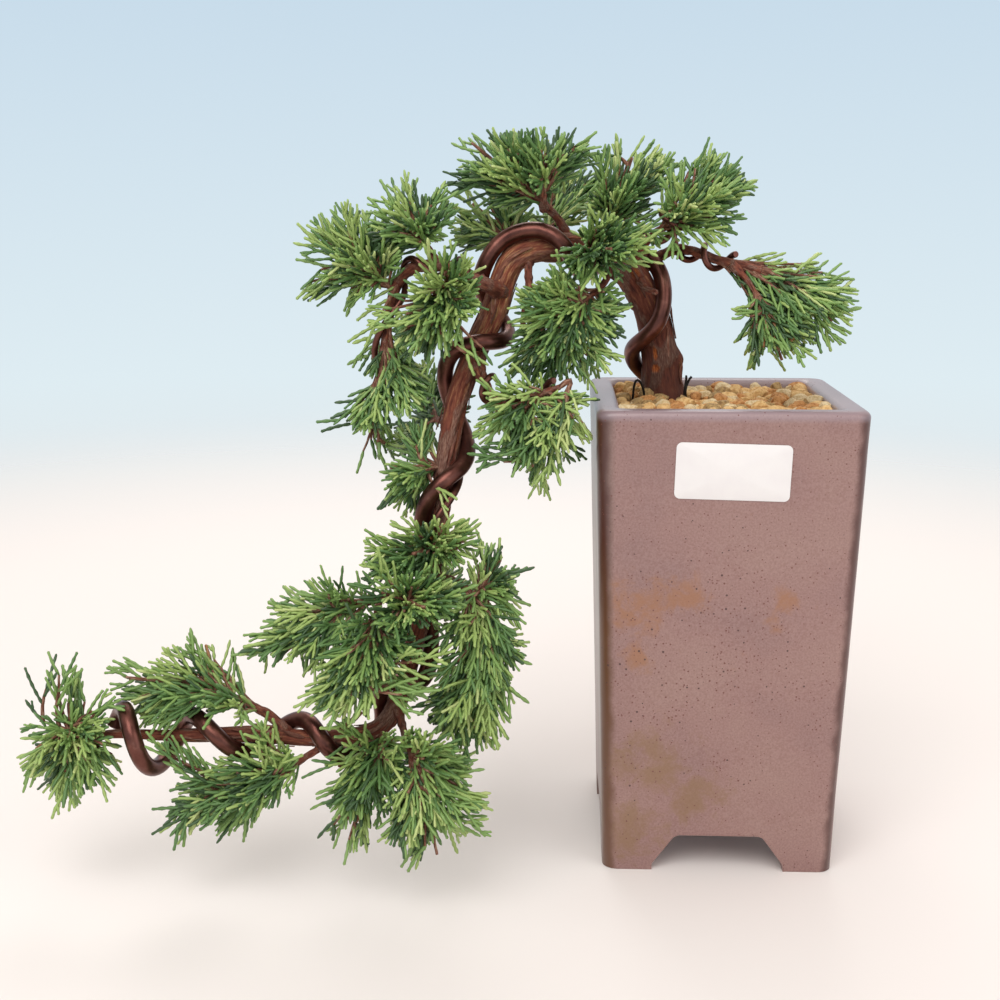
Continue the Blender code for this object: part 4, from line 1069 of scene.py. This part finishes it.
# ------------------------------------------------------------------ foliage
# Scale-leaved juniper shoots. A scaly brown twig carries cords of tiny overlapping leaves, about
# 1.3 mm thick and blunt, set alternately in feathery sprays. The outer shoots are the freshest.
MASSES = {   # without foliage_ in front: root (a bough's tip or a point in a limb), centre, half widths
    "apex": ("bough_apex", (-85, -12, 258), (18, 13, 15)),
    "apex_right": ("bough_apex_right", (-61, -19, 257), (11, 12, 15)),
    "top_right": ((-46, -2, 225), (-38, -2, 249), (21, 14, 19)),
    "top_front": ((-52, -3, 226), (-45, -27, 227), (16, 11, 13)),
    "right_upper": ("bough_right_upper", (-11, -16, 245), (19, 13, 18)),
    "right_far": ("bough_right", (29, -14, 207), (20, 14, 18)),
    "right_down": ("bough_right_down", (16, -22, 196), (15, 12, 16)),
    "left_top": ("bough_left_top", (-113, -22, 237), (17, 13, 14)),
    "left_outer": ((-119, -20, 212), (-136, -21, 224), (20, 14, 19)),
    "left_inner": ((-100, -21, 219), (-101, -35, 206), (21, 13, 20)),
    "left_mid": ("bough_left", (-125, -27, 170), (18, 13, 22)),
    "drop_left": ((-100, -31, 150), (-112, -38, 151), (16, 13, 17)),
    "hang": ("bough_hang", (-56, -24, 197), (25, 12, 22)),
    "under": ("bough_under", (-66, -38, 162), (21, 12, 20)),
    "centre": ((-74, -7, 224), (-88, 8, 238), (16, 12, 14)),
    "sprig": ((-103, -40, 124), (-107, -56, 125), (22, 10, 11)),
    "low_middle": ((-115, -54, 108), (-108, -71, 110), (17, 10, 13)),
    "low_left": ("bough_low_left", (-148, -64, 97), (22, 13, 16)),
    "low_centre": ((-122, -58, 108), (-125, -77, 90), (20, 13, 20)),
    "low_right": ((-90, -57, 109), (-84, -52, 113), (14, 13, 15)),
    "low_hang": ("bough_low_right", (-90, -60, 79), (19, 13, 25)),
    "bottom_left": ((-121, -59, 64), (-127, -70, 44), (19, 13, 26)),
    "bottom": ("bough_bottom", (-104, -77, 37), (20, 13, 28)),
    "tail_end": ("trunk", (-231, -68, 62), (19, 14, 29)),
    "tail_upper": ("bough_tail_upper", (-192, -62, 78), (24, 13, 14)),
    "tail_lower": ("bough_tail_lower", (-172, -70, 43), (27, 13, 19)),
    "back_top": ("bough_back_top", (-60, 34, 244), (22, 15, 17)),
    "back_drop": ("bough_back_drop", (-112, 19, 160), (18, 15, 22)),
    "back_low": ((-107, -46, 105), (-110, -20, 92), (20, 14, 22)),
}
CROWN_PARTS = {   # each joined piece of leaves and twigs, and the masses that it stands for
    "apex": ("apex", "apex_right", "centre", "left_top"),
    "top": ("top_right", "top_front", "right_upper", "back_top"),
    "right": ("right_far", "right_down", "hang", "under"),
    "left": ("left_outer", "left_inner", "left_mid", "drop_left"),
    "low": ("sprig", "low_left", "low_centre", "low_middle", "low_right"),
    "bottom": ("low_hang", "bottom_left", "bottom", "back_low"),
    "tail": ("tail_end", "tail_upper", "tail_lower", "back_drop"),
}
EXTRA_TIPS = {   # where further sprays end, to close the gaps between neighbouring masses
    "top_front": ((-47, -30, 240), (-56, -34, 228), (-37, -30, 231), (-29, -26, 221),
        (-25, -24, 236), (-49, -32, 215), (-52, -31, 233), (-28, -34, 228), (-61, -34, 222)),
    "hang": ((-60, -34, 213), (-70, -36, 204), (-42, -30, 199), (-52, -34, 223), (-73, -38, 210),
        (-68, -26, 217), (-48, -28, 187), (-62, -32, 216), (-73, -26, 214), (-73, -34, 200),
        (-52, -30, 183), (-67, -26, 211), (-41, -32, 214), (-43, -32, 190), (-75, -27, 209),
        (-63, -32, 206), (-76, -26, 193), (-72, -31, 220), (-67, -34, 223), (-68, -33, 219),
        (-36, -27, 202), (-76, -29, 205), (-83, -30, 190), (-36, -26, 197), (-74, -30, 216),
        (-51, -28, 180), (-77, -30, 193), (-42, -31, 189), (-64, -31, 222), (-76, -31, 210),
        (-64, -32, 217), (-36, -26, 207)),
    "top_right": ((-22, -18, 230), (-47, -12, 259), (-47, -11, 261)),
    "left_inner": ((-104, -44, 216), (-118, -40, 210), (-107, -40, 229), (-96, -46, 201),
        (-83, -39, 191), (-123, -42, 207), (-99, -39, 226), (-91, -38, 223), (-96, -39, 217),
        (-92, -43, 200), (-124, -43, 201), (-92, -45, 202), (-90, -45, 225), (-109, -46, 213),
        (-110, -38, 218), (-124, -42, 205), (-85, -41, 188), (-90, -46, 206),
        (-94, -46, 221), (-88, -46, 213), (-101, -47, 219), (-113, -46, 202), (-108, -46, 197)),
    "right_upper": ((-7, -22, 233), (-15, -26, 236), (1, -20, 236), (-5, -26, 232),
        (-24, -24, 246), (-14, -25, 232), (-21, -22, 240), (-21, -27, 224), (-18, -27, 249),
        (-3, -20, 232), (2, -18, 240)),
    "left_outer": ((-147, -24, 234), (-135, -30, 239), (-126, -34, 223), (-127, -32, 211),
        (-117, -28, 223), (-146, -31, 229), (-145, -29, 235), (-136, -33, 243), (-149, -33, 231),
        (-116, -30, 224), (-124, -24, 213)),
    "left_top": ((-118, -30, 242), (-107, -34, 236), (-102, -26, 234), (-110, -26, 228),
        (-125, -29, 240), (-123, -24, 245), (-102, -29, 230), (-109, -32, 227), (-100, -23, 248)),
    "under": ((-76, -48, 170), (-84, -50, 177), (-70, -46, 177), (-79, -49, 168), (-88, -46, 156),
        (-88, -46, 163), (-82, -45, 182), (-84, -48, 171), (-63, -39, 149), (-89, -49, 181),
        (-55, -42, 160), (-77, -45, 182), (-89, -48, 155), (-64, -46, 149), (-89, -41, 167),
        (-81, -43, 164), (-88, -40, 160), (-89, -45, 179), (-55, -42, 170)),
    "low_left": ((-138, -66, 114), (-126, -68, 116), (-132, -72, 98), (-148, -70, 104),
        (-119, -72, 112), (-156, -72, 108), (-138, -65, 109), (-136, -70, 118), (-134, -71, 97),
        (-144, -72, 115), (-152, -67, 105), (-158, -70, 106), (-130, -72, 115), (-144, -74, 86),
        (-137, -73, 120)),
    "low_middle": ((-123, -78, 127), (-117, -84, 105), (-128, -76, 119), (-118, -74, 116)),
    "low_centre": ((-136, -84, 93), (-129, -86, 85), (-94, -86, 99), (-99, -88, 86),
        (-109, -88, 76), (-124, -88, 77), (-137, -88, 94), (-108, -80, 79), (-144, -84, 78),
        (-128, -86, 109), (-138, -85, 75), (-124, -79, 72), (-143, -79, 75), (-133, -85, 75)),
    "low_right": ((-78, -62, 109), (-87, -66, 96), (-93, -68, 108), (-78, -61, 105),
        (-89, -61, 119), (-73, -56, 103), (-84, -60, 102), (-72, -62, 104)),
    "low_hang": ((-93, -76, 103), (-83, -70, 63), (-80, -66, 78), (-96, -84, 74), (-97, -62, 88),
        (-95, -71, 100), (-88, -62, 53), (-101, -64, 80), (-81, -63, 59), (-81, -63, 71), (-75, -70, 98),
        (-75, -62, 72), (-100, -69, 95), (-90, -65, 96), (-86, -64, 55), (-109, -65, 72), (-94, -64, 57),
        (-102, -71, 83), (-84, -66, 60), (-104, -68, 77), (-98, -69, 61)),
    "bottom_left": ((-138, -76, 61), (-120, -84, 49), (-111, -86, 61), (-136, -80, 72),
        (-120, -72, 33), (-115, -79, 67), (-135, -75, 52), (-131, -72, 67), (-144, -77, 56),
        (-110, -81, 72), (-136, -75, 51), (-133, -76, 23), (-115, -78, 68)),
    "bottom": ((-114, -87, 44), (-102, -87, 63), (-96, -86, 55), (-105, -85, 67), (-95, -86, 66),
        (-109, -80, 70), (-92, -79, 57), (-85, -82, 35), (-106, -81, 69), (-102, -81, 68), (-106, -81, 18),
        (-99, -84, 36), (-87, -82, 41), (-95, -79, 33), (-106, -79, 21)),
    "tail_end": ((-215, -78, 61), (-220, -76, 45), (-210, -74, 76), (-211, -80, 60),
        (-218, -75, 53), (-227, -73, 41), (-215, -79, 45), (-210, -70, 51), (-227, -72, 48),
        (-236, -72, 37), (-225, -72, 92), (-217, -71, 65), (-243, -73, 66), (-218, -80, 61),
        (-213, -71, 57), (-228, -79, 42), (-221, -77, 43), (-210, -74, 54), (-231, -79, 38),
        (-212, -74, 77), (-214, -79, 44), (-208, -70, 49)),
    "tail_upper": ((-169, -76, 73), (-200, -72, 86), (-180, -78, 72), (-193, -76, 71),
        (-178, -65, 68), (-204, -70, 66), (-169, -68, 69), (-173, -70, 83), (-199, -67, 64),
        (-211, -73, 84), (-176, -67, 67), (-198, -65, 88), (-202, -72, 66), (-210, -66, 73),
        (-196, -67, 64), (-171, -73, 71), (-206, -67, 68), (-213, -66, 81)),
    "tail_lower": ((-151, -78, 60), (-177, -82, 54), (-163, -80, 62), (-193, -72, 25),
        (-197, -81, 62), (-161, -77, 70), (-153, -77, 60), (-178, -77, 57), (-190, -77, 49),
        (-151, -72, 49), (-185, -71, 46), (-194, -79, 28), (-177, -73, 55), (-162, -81, 72),
        (-151, -74, 57), (-200, -77, 61), (-155, -75, 59), (-201, -71, 54), (-180, -73, 57)),
    "right_far": ((35, -26, 199), (43, -20, 204), (39, -26, 194), (30, -17, 194), (43, -24, 204)),
    "apex": ((-80, -18, 269), (-70, -20, 268), (-80, -19, 270), (-74, -20, 268)),
    "left_mid": ((-128, -38, 194), (-111, -37, 172), (-140, -36, 166)),
    "sprig": ((-126, -64, 128), (-96, -60, 139), (-111, -58, 131), (-97, -58, 121),
        (-124, -63, 118), (-91, -58, 136), (-127, -57, 125), (-111, -59, 135)),
    "apex_right": ((-69, -28, 249), (-69, -28, 268)),
    "right_down": ((25, -31, 190), (3, -26, 205), (12, -24, 190), (1, -32, 205), (5, -24, 209)),
    "centre": ((-70, 5, 241), (-99, 0, 237), (-98, 0, 246)),
    "drop_left": ((-97, -48, 139),),
}
SKY = (   # x, z and radius of gaps in the crown, seen from the front, where no cord may end
    (15, 175, 9), (4, 175, 9), (24, 176, 7),
    (-118, 21, 6), (-131, 156, 6), (-141, 31, 6), (-223, 76, 5), (-92, 246, 4), (-152, 218, 5), (-182, 94, 5),
    (-101, 18, 6), (-86, 48, 4), (-81, 151, 4), (-76, 123, 4), (-162, 86, 5), (-154, 83, 5), (-56, 249, 3),
    (4, 187, 4), (26, 225, 4), (-140, 160, 5), (-75, 145, 4), (-237, 77, 5), (-33, 264, 4), (-91, 128, 3),
    (-14, 262, 4), (-110, 12, 5), (-127, 147, 4), (8, 255, 4), (-146, 224, 3), (-240, 78, 6), (-233, 90, 5),
    (-82, 150, 5), (-102, 12, 5), (29, 225, 4), (-61, 253, 4), (-141, 208, 4), (-180, 86, 4), (-210, 81, 4),
    (2, 189, 4), (-126, 141, 4), (-170, 86, 4), (-131, 175, 4), (-137, 154, 4), (-73, 122, 4), (-35, 263, 4),
    (4, 201, 4), (-70, 113, 4), (-90, 32, 4), (10, 224, 3), (-51, 168, 4), (-143, 49, 3), (-117, 25, 4),
    (-72, 81, 4), (39, 219, 3), (-109, 249, 3), (-130, 198, 3), (14, 186, 4), (-135, 24, 4), (-53, 266, 3),
)
SHOWN = (   # x, z and radius of places where the wood or a wire shows through the crown from the front
    (-205, 55, 8), (-178, 62, 7), (-143, 62, 6), (-73, 224, 9), (-86, 198, 8), (-96, 178, 8), (-99, 152, 9),
    (-82, 212, 6), (-118, 208, 4), (-121, 196, 4), (-116, 74, 6), (-28, 200, 9), (-30, 214, 6), (2, 221, 6),
)
SKY_DEPTH = 15            # cords that end further back than this may be seen in the gaps
STEM_REACH = 0.55         # how far past the middle of its mass a stem grows
STEM_STEP = 1.2           # between two places on a stem where a spray may root
BOUGH_LEAFY = 0.6         # outer share of a bough that carries sprays too
BACK_TIPS = (0.6, 2.3, 3.9, 5.4)   # directions of the sprays that fill the back of a mass
BACK_REACH = (0.75, 1.25)          # how far they reach, in its half widths, sideways and back
SPRAY_LENGTH = (20, 34)
SPRAY_BACK = -0.7         # sprays that point further back than this are left out
SPRAYS_PER_MM = 0.62      # sprays in a mass, for each mm of its three half widths
BARE_START = (0.5, 4)     # bare foot of a spray
BARE_END = 3              # part of a spray's tip that holds its leader only
LEADER_LENGTH = 15
INNER_SHARE = 0.3         # sprays that end inside their mass
INNER_REACH, OUTER_REACH = (0.5, 0.8), (0.82, 1.04)
CORD_STEP = 2.8           # between two cords on a spray
CORD_LENGTH = (9.0, 15.0)
CORD_RADIUS = 0.57
CORD_RING = 1.4
CORD_SIDES = 4
CORD_ANGLE, CORD_SPREAD, CORD_TILT = 43, 7, 24   # degrees from the twig, and how much they vary
CORD_BLUNT = 0.75         # length of a cord's tip, in its radii
FORK_CHANCE = 0.45
FORK_PLACE, FORK_LENGTH = (0.3, 0.6), (0.3, 0.5)   # in shares of the cord that forks
SCALE_SWELL = 0.2         # how much each crossed pair of scale leaves stands out of its cord
CLEAR_OF_LIMBS = 0.1
CLEAR_OF_POT = 1.2
CLEAR_OF_GROUND = 1.5
CLEAR_OF_BOX = 1
TWIG_RADIUS = (0.75, 0.42)
TWIG_RING, TWIG_SIDES, TWIG_RELIEF = 1.3, 6, 0.28
STEM_RADIUS, FREE_STEM_RADIUS, STEM_TAPER = 1.0, 1.3, 0.45   # from a bough's tip, and from the wood
STEM_SIDES, STEM_RELIEF = 10, 0.22
LEAST_CORDS = 3           # a spray with fewer than this is left out
GOLDEN_TURN, GOLDEN_SHARE = 2.39996, 0.618   # steps that spread the sprays evenly over a mass
CROWN_SEED, STEM_SEED, SPRAY_SEED, TIP_SEED = 500, 900, 2000, 5000
LEAVES = {   # colour, and share of the sprays
    "new": ("#B6C27C", 1), "fresh": ("#9AB064", 4), "green": ("#7C9A54", 5),
    "deep": ("#5A7B44", 4), "shaded": ("#3D5733", 2), "dead": ("#9A6A40", 0.35),
}
GREEN, SHADED, DEAD = (list(LEAVES).index(tone) for tone in ("green", "shaded", "dead"))

leaf_finishes = []
# Waxy scale leaves: a low soft sheen over plain green, from new growth to old and to dead tips; the darker
# tones, dealt more often inside and below the crown, are partly painted shade.
for tone, (tint, _) in LEAVES.items():
    made = finish("juniper_scale_leaf_" + tone, Roughness=0.45, IOR=1.48, Base_Color=linear(tint))[0]
    leaf_finishes.append(made)

# Twig bark: dull, papery scales, rust brown with greyer edges and painted shade in the gaps between them.
twig_bark, tree, shader = finish("scaly_juniper_twig_bark", Roughness=0.8, IOR=1.4)
mottle = noise(tree, attribute(tree, "grain", "Vector"), 1.6, 4.0)
rust = ramp(tree, mottle, (0.34, "#573629"), (0.5, "#7D503D"), (0.68, "#A0806C"))
# painted shade: the low places between the scales go dark
between = share(tree, attribute(tree, "relief"), 0.0, -0.6, 0.7)
feed(shader, Base_Color=over(tree, between, rust, "#33190F"))


def unit(vector):
    """A vector's direction."""
    return vector / max(np.linalg.norm(vector), 1e-9)


def bent(a, b, c, t):
    """A place on the curve from a to c that leans towards b."""
    return (1 - t) ** 2 * a + 2 * t * (1 - t) * b + t ** 2 * c


def bent_run(a, b, c, t):
    """Which way that curve runs."""
    return 2 * (1 - t) * (b - a) + 2 * t * (c - b)


class Cords:
    """Leaf cords gathered as curves, then made into one joined mesh of tubes."""

    def __init__(self):
        self.bends, self.radii, self.flats, self.tones = [], [], [], []

    def grow(self, start, middle, end, radius, flat, tone):
        self.bends.append((start, middle, end))
        self.radii.append(radius)
        self.flats.append(flat)
        self.tones.append(tone)

    def meshed(self):
        """Points, four-sided faces, three-sided faces, and a tone for every face."""
        gathered = self.bends, self.radii, self.flats, self.tones
        bends, radii, flats, tones = (np.array(rows) for rows in gathered)
        lengths = np.linalg.norm(bends[:, 2] - bends[:, 0], axis=1)
        counts = np.maximum(4, np.round(lengths / CORD_RING)).astype(int)
        points, quads, tris, quad_tones, tri_tones, base = [], [], [], [], [], 0
        turn = turns(CORD_SIDES)[:, None]
        for count in np.unique(counts):   # cords of as many rings are made together
            pick = counts == count
            radius = radii[pick][:, None]
            ends = [bends[pick, k][:, None, :] for k in range(3)]
            t = np.linspace(0, 1, count)[:, None]
            line, run = bent(*ends, t), bent_run(*ends, t)
            run /= np.linalg.norm(run, axis=2, keepdims=True)
            side = np.cross(flats[pick][:, None, :], run)
            side /= np.maximum(np.linalg.norm(side, axis=2, keepdims=True), 1e-6)
            top = np.cross(run, side)
            crossed = (np.arange(count)[:, None] + np.arange(CORD_SIDES)) % 2
            shape = np.interp(np.linspace(0, 1, count), (0, 0.12, 0.8, 1), (0.85, 1.0, 1.04, 0.82))
            reach = radius[:, :, None] * shape[:, None] * (1 + SCALE_SWELL * np.where(crossed, 1, -1))
            out = side[:, :, None, :] * np.cos(turn) + top[:, :, None, :] * np.sin(turn)
            rings = line[:, :, None, :] + out * reach[:, :, :, None]
            root, tip = line[:, 0], line[:, -1] + run[:, -1] * radius * CORD_BLUNT
            cords = len(rings)
            joined = np.concatenate([rings.reshape(cords, -1, 3), root[:, None], tip[:, None]], axis=1)
            points.append(joined.reshape(-1, 3))
            _, quad, tri = bridged(rings[0])
            first = base + np.arange(cords)[:, None, None] * (count * CORD_SIDES + 2)
            quads.append((first + quad).reshape(-1, 4))
            tris.append((first + tri).reshape(-1, 3))
            quad_tones.append(np.repeat(tones[pick], len(quad)))
            tri_tones.append(np.repeat(tones[pick], len(tri)))
            base += cords * (count * CORD_SIDES + 2)
        return np.vstack(points), np.vstack(quads), np.vstack(tris), np.concatenate(quad_tones + tri_tones)


def stem_line(root, centre, halves):
    """A stem from its root, which is a limb's tip or a point, through the middle of its mass."""
    if isinstance(root, str):
        route = [t[:3] for t in TRUNK] if root == "trunk" else BOUGHS[root][0]
        last = len(route) - 1
        end, before = Vector(catmull(route, last)), Vector(catmull(route, last - 0.1))
        start = end - (end - before).normalized() * 0.5
        bend = end + (end - before).normalized() * 4
    else:
        start = Vector(root)
        bend = start.lerp(Vector(centre), 0.4)
    middle = Vector(centre)
    run = (middle - start).normalized()
    reach = Vector([run[i] * halves[i] for i in range(3)]) * STEM_REACH
    return smooth_line([tuple(start), tuple(bend), tuple(middle), tuple(middle + reach)], STEM_STEP)


def spray_root(line, tip, rng):
    """The place on a stem from which a spray of full length reaches its tip."""
    near = min(range(len(line)), key=lambda i: (line[i] - tip).length)
    length = rng.uniform(*SPRAY_LENGTH)
    while near > 2 and (line[near] - tip).length < length:
        near -= 1
    return min(max(near, rng.randint(2, 2 + len(line) // 3)), len(line) - 2)


limb_points = np.array(limb_points)
box_low = np.array(cad_box[0]) / MM - POT_AXIS
box_high = np.array(cad_box[1]) / MM - POT_AXIS


def free(points):
    """For each row of points, whether all are clear of limbs, pot and ground and inside the CAD box."""
    flat = points.reshape(-1, 3)
    away = np.linalg.norm(flat[:, None, :] - limb_points[None, :, :3], axis=2) - limb_points[:, 3]
    good = away.min(axis=1) > CLEAR_OF_LIMBS + CORD_RADIUS
    wide = np.abs(flat[:, :2]).max(axis=1)
    good &= (flat[:, 2] > POT_HEIGHT + CLEAR_OF_POT) | (wide > pot_half(flat[:, 2]) + CLEAR_OF_POT)
    good &= flat[:, 2] > CLEAR_OF_GROUND
    good &= ((flat > box_low + CLEAR_OF_BOX) & (flat < box_high - CLEAR_OF_BOX)).all(axis=1)
    return good.reshape(points.shape[:-1]).all(axis=1)


def kept_cords(grown, held):
    """Which cords are free, out of the gaps in the crown, and held by a cord that is kept too."""
    # each cord is tested at its middle, near its end and at its end
    tests = np.array([[b * 0.5 + (a + c) * 0.25, b * 0.3 + c * 0.7, c] for a, b, c, _ in grown])
    outer, end = tests[:, 1:], tests[:, 2]
    barred = np.any([np.hypot(end[:, 0] - x, end[:, 2] - z) < r for x, z, r in SKY], axis=0)
    barred &= end[:, 1] < SKY_DEPTH
    for x, z, r in SHOWN:
        barred |= ((np.hypot(outer[..., 0] - x, outer[..., 2] - z) < r) & (outer[..., 1] < 0)).any(axis=1)
    keeps = free(tests) & ~barred
    for cord, holder in enumerate(held):
        if isinstance(holder, int):
            keeps[cord] &= keeps[holder]
    return keeps


def grow_cords(axis, length, flat, rng):
    """The cords of a spray, and for each the cord or the place on the twig that holds it."""
    size = min(1.0, 0.6 + length / 60)
    at = rng.uniform(*BARE_START)
    hand = rng.choice((-1, 1))
    grown, held = [], []
    while at < length - BARE_END:
        t = at / length
        run = unit(bent_run(*axis, t))
        wide = unit(np.cross(flat, run))
        up = np.cross(run, wide)
        spread = math.radians(CORD_ANGLE + rng.gauss(0, CORD_SPREAD) - 12 * t)
        tilt = math.radians(rng.gauss(0, CORD_TILT))
        out = wide * hand * math.cos(tilt) + up * math.sin(tilt)
        way = run * math.cos(spread) + out * math.sin(spread)
        taper = min(1, 0.7 + 1.2 * t) * (1 - 0.5 * max(0, t - 0.45) / 0.55)
        reach = rng.uniform(*CORD_LENGTH) * size * taper
        start = bent(*axis, t)
        bend = start + way * reach * 0.5
        end = start + unit(way * 0.88 + run * 0.22 + np.array([0, 0, rng.gauss(0, 0.08)])) * reach
        grown.append((start, bend, end, CORD_RADIUS * rng.uniform(0.9, 1.12)))
        held.append(t)
        parent = len(grown) - 1
        if rng.random() < FORK_CHANCE:
            for part in range(rng.choice((1, 1, 2))):
                fork = bent(start, bend, end, rng.uniform(*FORK_PLACE))
                side = unit(np.cross(flat, way)) * (1 if part else -1) * hand
                branch = unit(unit(end - bend) * 0.84 + side * 0.5 + up * rng.gauss(0, 0.25))
                short = reach * rng.uniform(*FORK_LENGTH)
                tip = fork + unit(branch + run * 0.2) * short
                grown.append((fork, fork + branch * short * 0.5, tip, CORD_RADIUS * 0.92))
                held.append(parent)
        hand = -hand
        at += CORD_STEP * rng.uniform(0.8, 1.2)
    leader_at = max(0.05, 1 - LEADER_LENGTH / length)
    start = bent(*axis, leader_at)
    grown.append((start, (start + axis[2]) / 2, axis[2], CORD_RADIUS))
    held.append(leader_at)
    return grown, held


def grow_spray(cords, twigs, line, root_at, tip, flat, tone, rng, seed):
    """One spray: a twig from the stem to its tip, and alternate cords of leaves along its outer part."""
    root, tip = np.array(line[root_at]), np.array(tip)
    onward = unit(np.array(line[min(root_at + 2, len(line) - 1)] - line[root_at - 1]))
    length = np.linalg.norm(tip - root)
    axis = (root, root + (unit(tip - root) * 0.75 + onward * 0.4) * length * 0.5, tip)
    grown, held = grow_cords(axis, length, flat, rng)
    keeps = kept_cords(grown, held)
    if keeps.sum() < LEAST_CORDS:
        return
    for keep, (a, b, c, radius) in zip(keeps, grown):
        if keep:
            shift = rng.random()
            shade = min(SHADED, max(0, tone + (shift > 0.9) - (shift < 0.1)))
            cords.grow(a, b, c, radius, flat, DEAD if tone == DEAD else shade)
    places = [holder for holder, keep in zip(held, keeps) if keep and isinstance(holder, float)]
    woody = max(0.6, held[-1]) if keeps[-1] else max(places)   # how far along the twig its bark runs
    rings = int(max(3, (woody * length) / TWIG_RING))
    twig = [Vector(bent(*axis, t)) for t in np.linspace(0, woody, rings)]
    bark_tube(twigs, twig, tapered(*TWIG_RADIUS, rings), TWIG_SIDES, TWIG_RELIEF, seed)


def back_tips(centre, half):
    """Where further sprays end, so that the back of a mass is as full as its front."""
    side, back = BACK_REACH
    ways = [(side * math.cos(turn), back, side * math.sin(turn)) for turn in BACK_TIPS]
    return [tuple(round(v) for v in np.array(centre) + np.array(half) * way) for way in ways]


def grow_mass(cords, twigs, name):
    """A mass of foliage: its stem, the sprays that fill gaps, and the sprays all round it."""
    root, centre, half = MASSES[name]
    index = list(MASSES).index(name)
    rng = random.Random(CROWN_SEED + index)
    line = shoots = stem_line(root, centre, half)
    if isinstance(root, str) and root != "trunk":
        route = BOUGHS[root][0]
        shoots = smooth_line(route, STEM_STEP, (len(route) - 1) * (1 - BOUGH_LEAFY)) + line[2:]
    thick = STEM_RADIUS if isinstance(root, str) else FREE_STEM_RADIUS
    radii = tapered(thick, thick * STEM_TAPER, len(line))
    bark_tube(twigs, line, radii, STEM_SIDES, STEM_RELIEF, STEM_SEED + index)
    tips = list(EXTRA_TIPS.get(name, ()))
    if centre[1] < 0 and "tail" not in name:
        tips += back_tips(centre, half)
    for tip in tips:
        flat = (rng.uniform(-0.5, 0.5), -1.0, rng.uniform(0, 0.6))
        root_at = spray_root(shoots, Vector(tip), rng)
        tone = rng.choice((1, 1, 2, 2, 3))
        seed = TIP_SEED + sum(tip)
        grow_spray(cords, twigs, shoots, root_at, tip, unit(np.array(flat)), tone, rng, seed)
    onward = unit(np.array(line[-1] - line[0]))
    wanted = round(SPRAYS_PER_MM * sum(half))
    grown = 0
    for k in range(4 * wanted):
        if grown >= wanted:
            break
        z = 1 - 2 * ((k * GOLDEN_SHARE + 0.31) % 1)
        turn = GOLDEN_TURN * k + rng.uniform(-0.3, 0.3)
        level = math.sqrt(max(0, 1 - z * z))
        way = np.array([level * math.cos(turn), level * math.sin(turn), z])
        if way @ onward < SPRAY_BACK:
            continue
        grown += 1
        inner = rng.random() < INNER_SHARE
        tip = np.array(centre) + way * half * rng.uniform(*(INNER_REACH if inner else OUTER_REACH))
        flat = (rng.uniform(-0.7, 0.7), -rng.uniform(0.2, 1.2), 0.45 + rng.uniform(-0.4, 0.4))
        tone = rng.choices(range(len(LEAVES)), [part for _, part in LEAVES.values()])[0]
        if tone < SHADED and (inner or way[2] < -0.2 and rng.random() < 0.5):
            tone += 1   # inside and below, one tone darker: painted shade, with older leaves as well
        if tone == DEAD and not inner:
            tone = GREEN
        root_at = spray_root(shoots, Vector(tip), rng)
        seed = SPRAY_SEED + 60 * index + k
        grow_spray(cords, twigs, shoots, root_at, tip, unit(np.array(flat)), tone, rng, seed)


for part, members in CROWN_PARTS.items():
    cords, twigs = Cords(), Joined()
    nodes = ["foliage_" + member for member in members]
    for member in members:
        grow_mass(cords, twigs, member)
    points, quads, tris, tones = cords.meshed()
    leaves = array_mesh("leaf_sprays_" + part, points, quads, tris, leaf_finishes, tones)
    stems = twigs.piece("twigs_" + part, twig_bark)
    for piece, slot_name in ((leaves, "juniper_foliage"), (stems, "bark")):
        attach(piece, "root")
        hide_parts(*nodes)
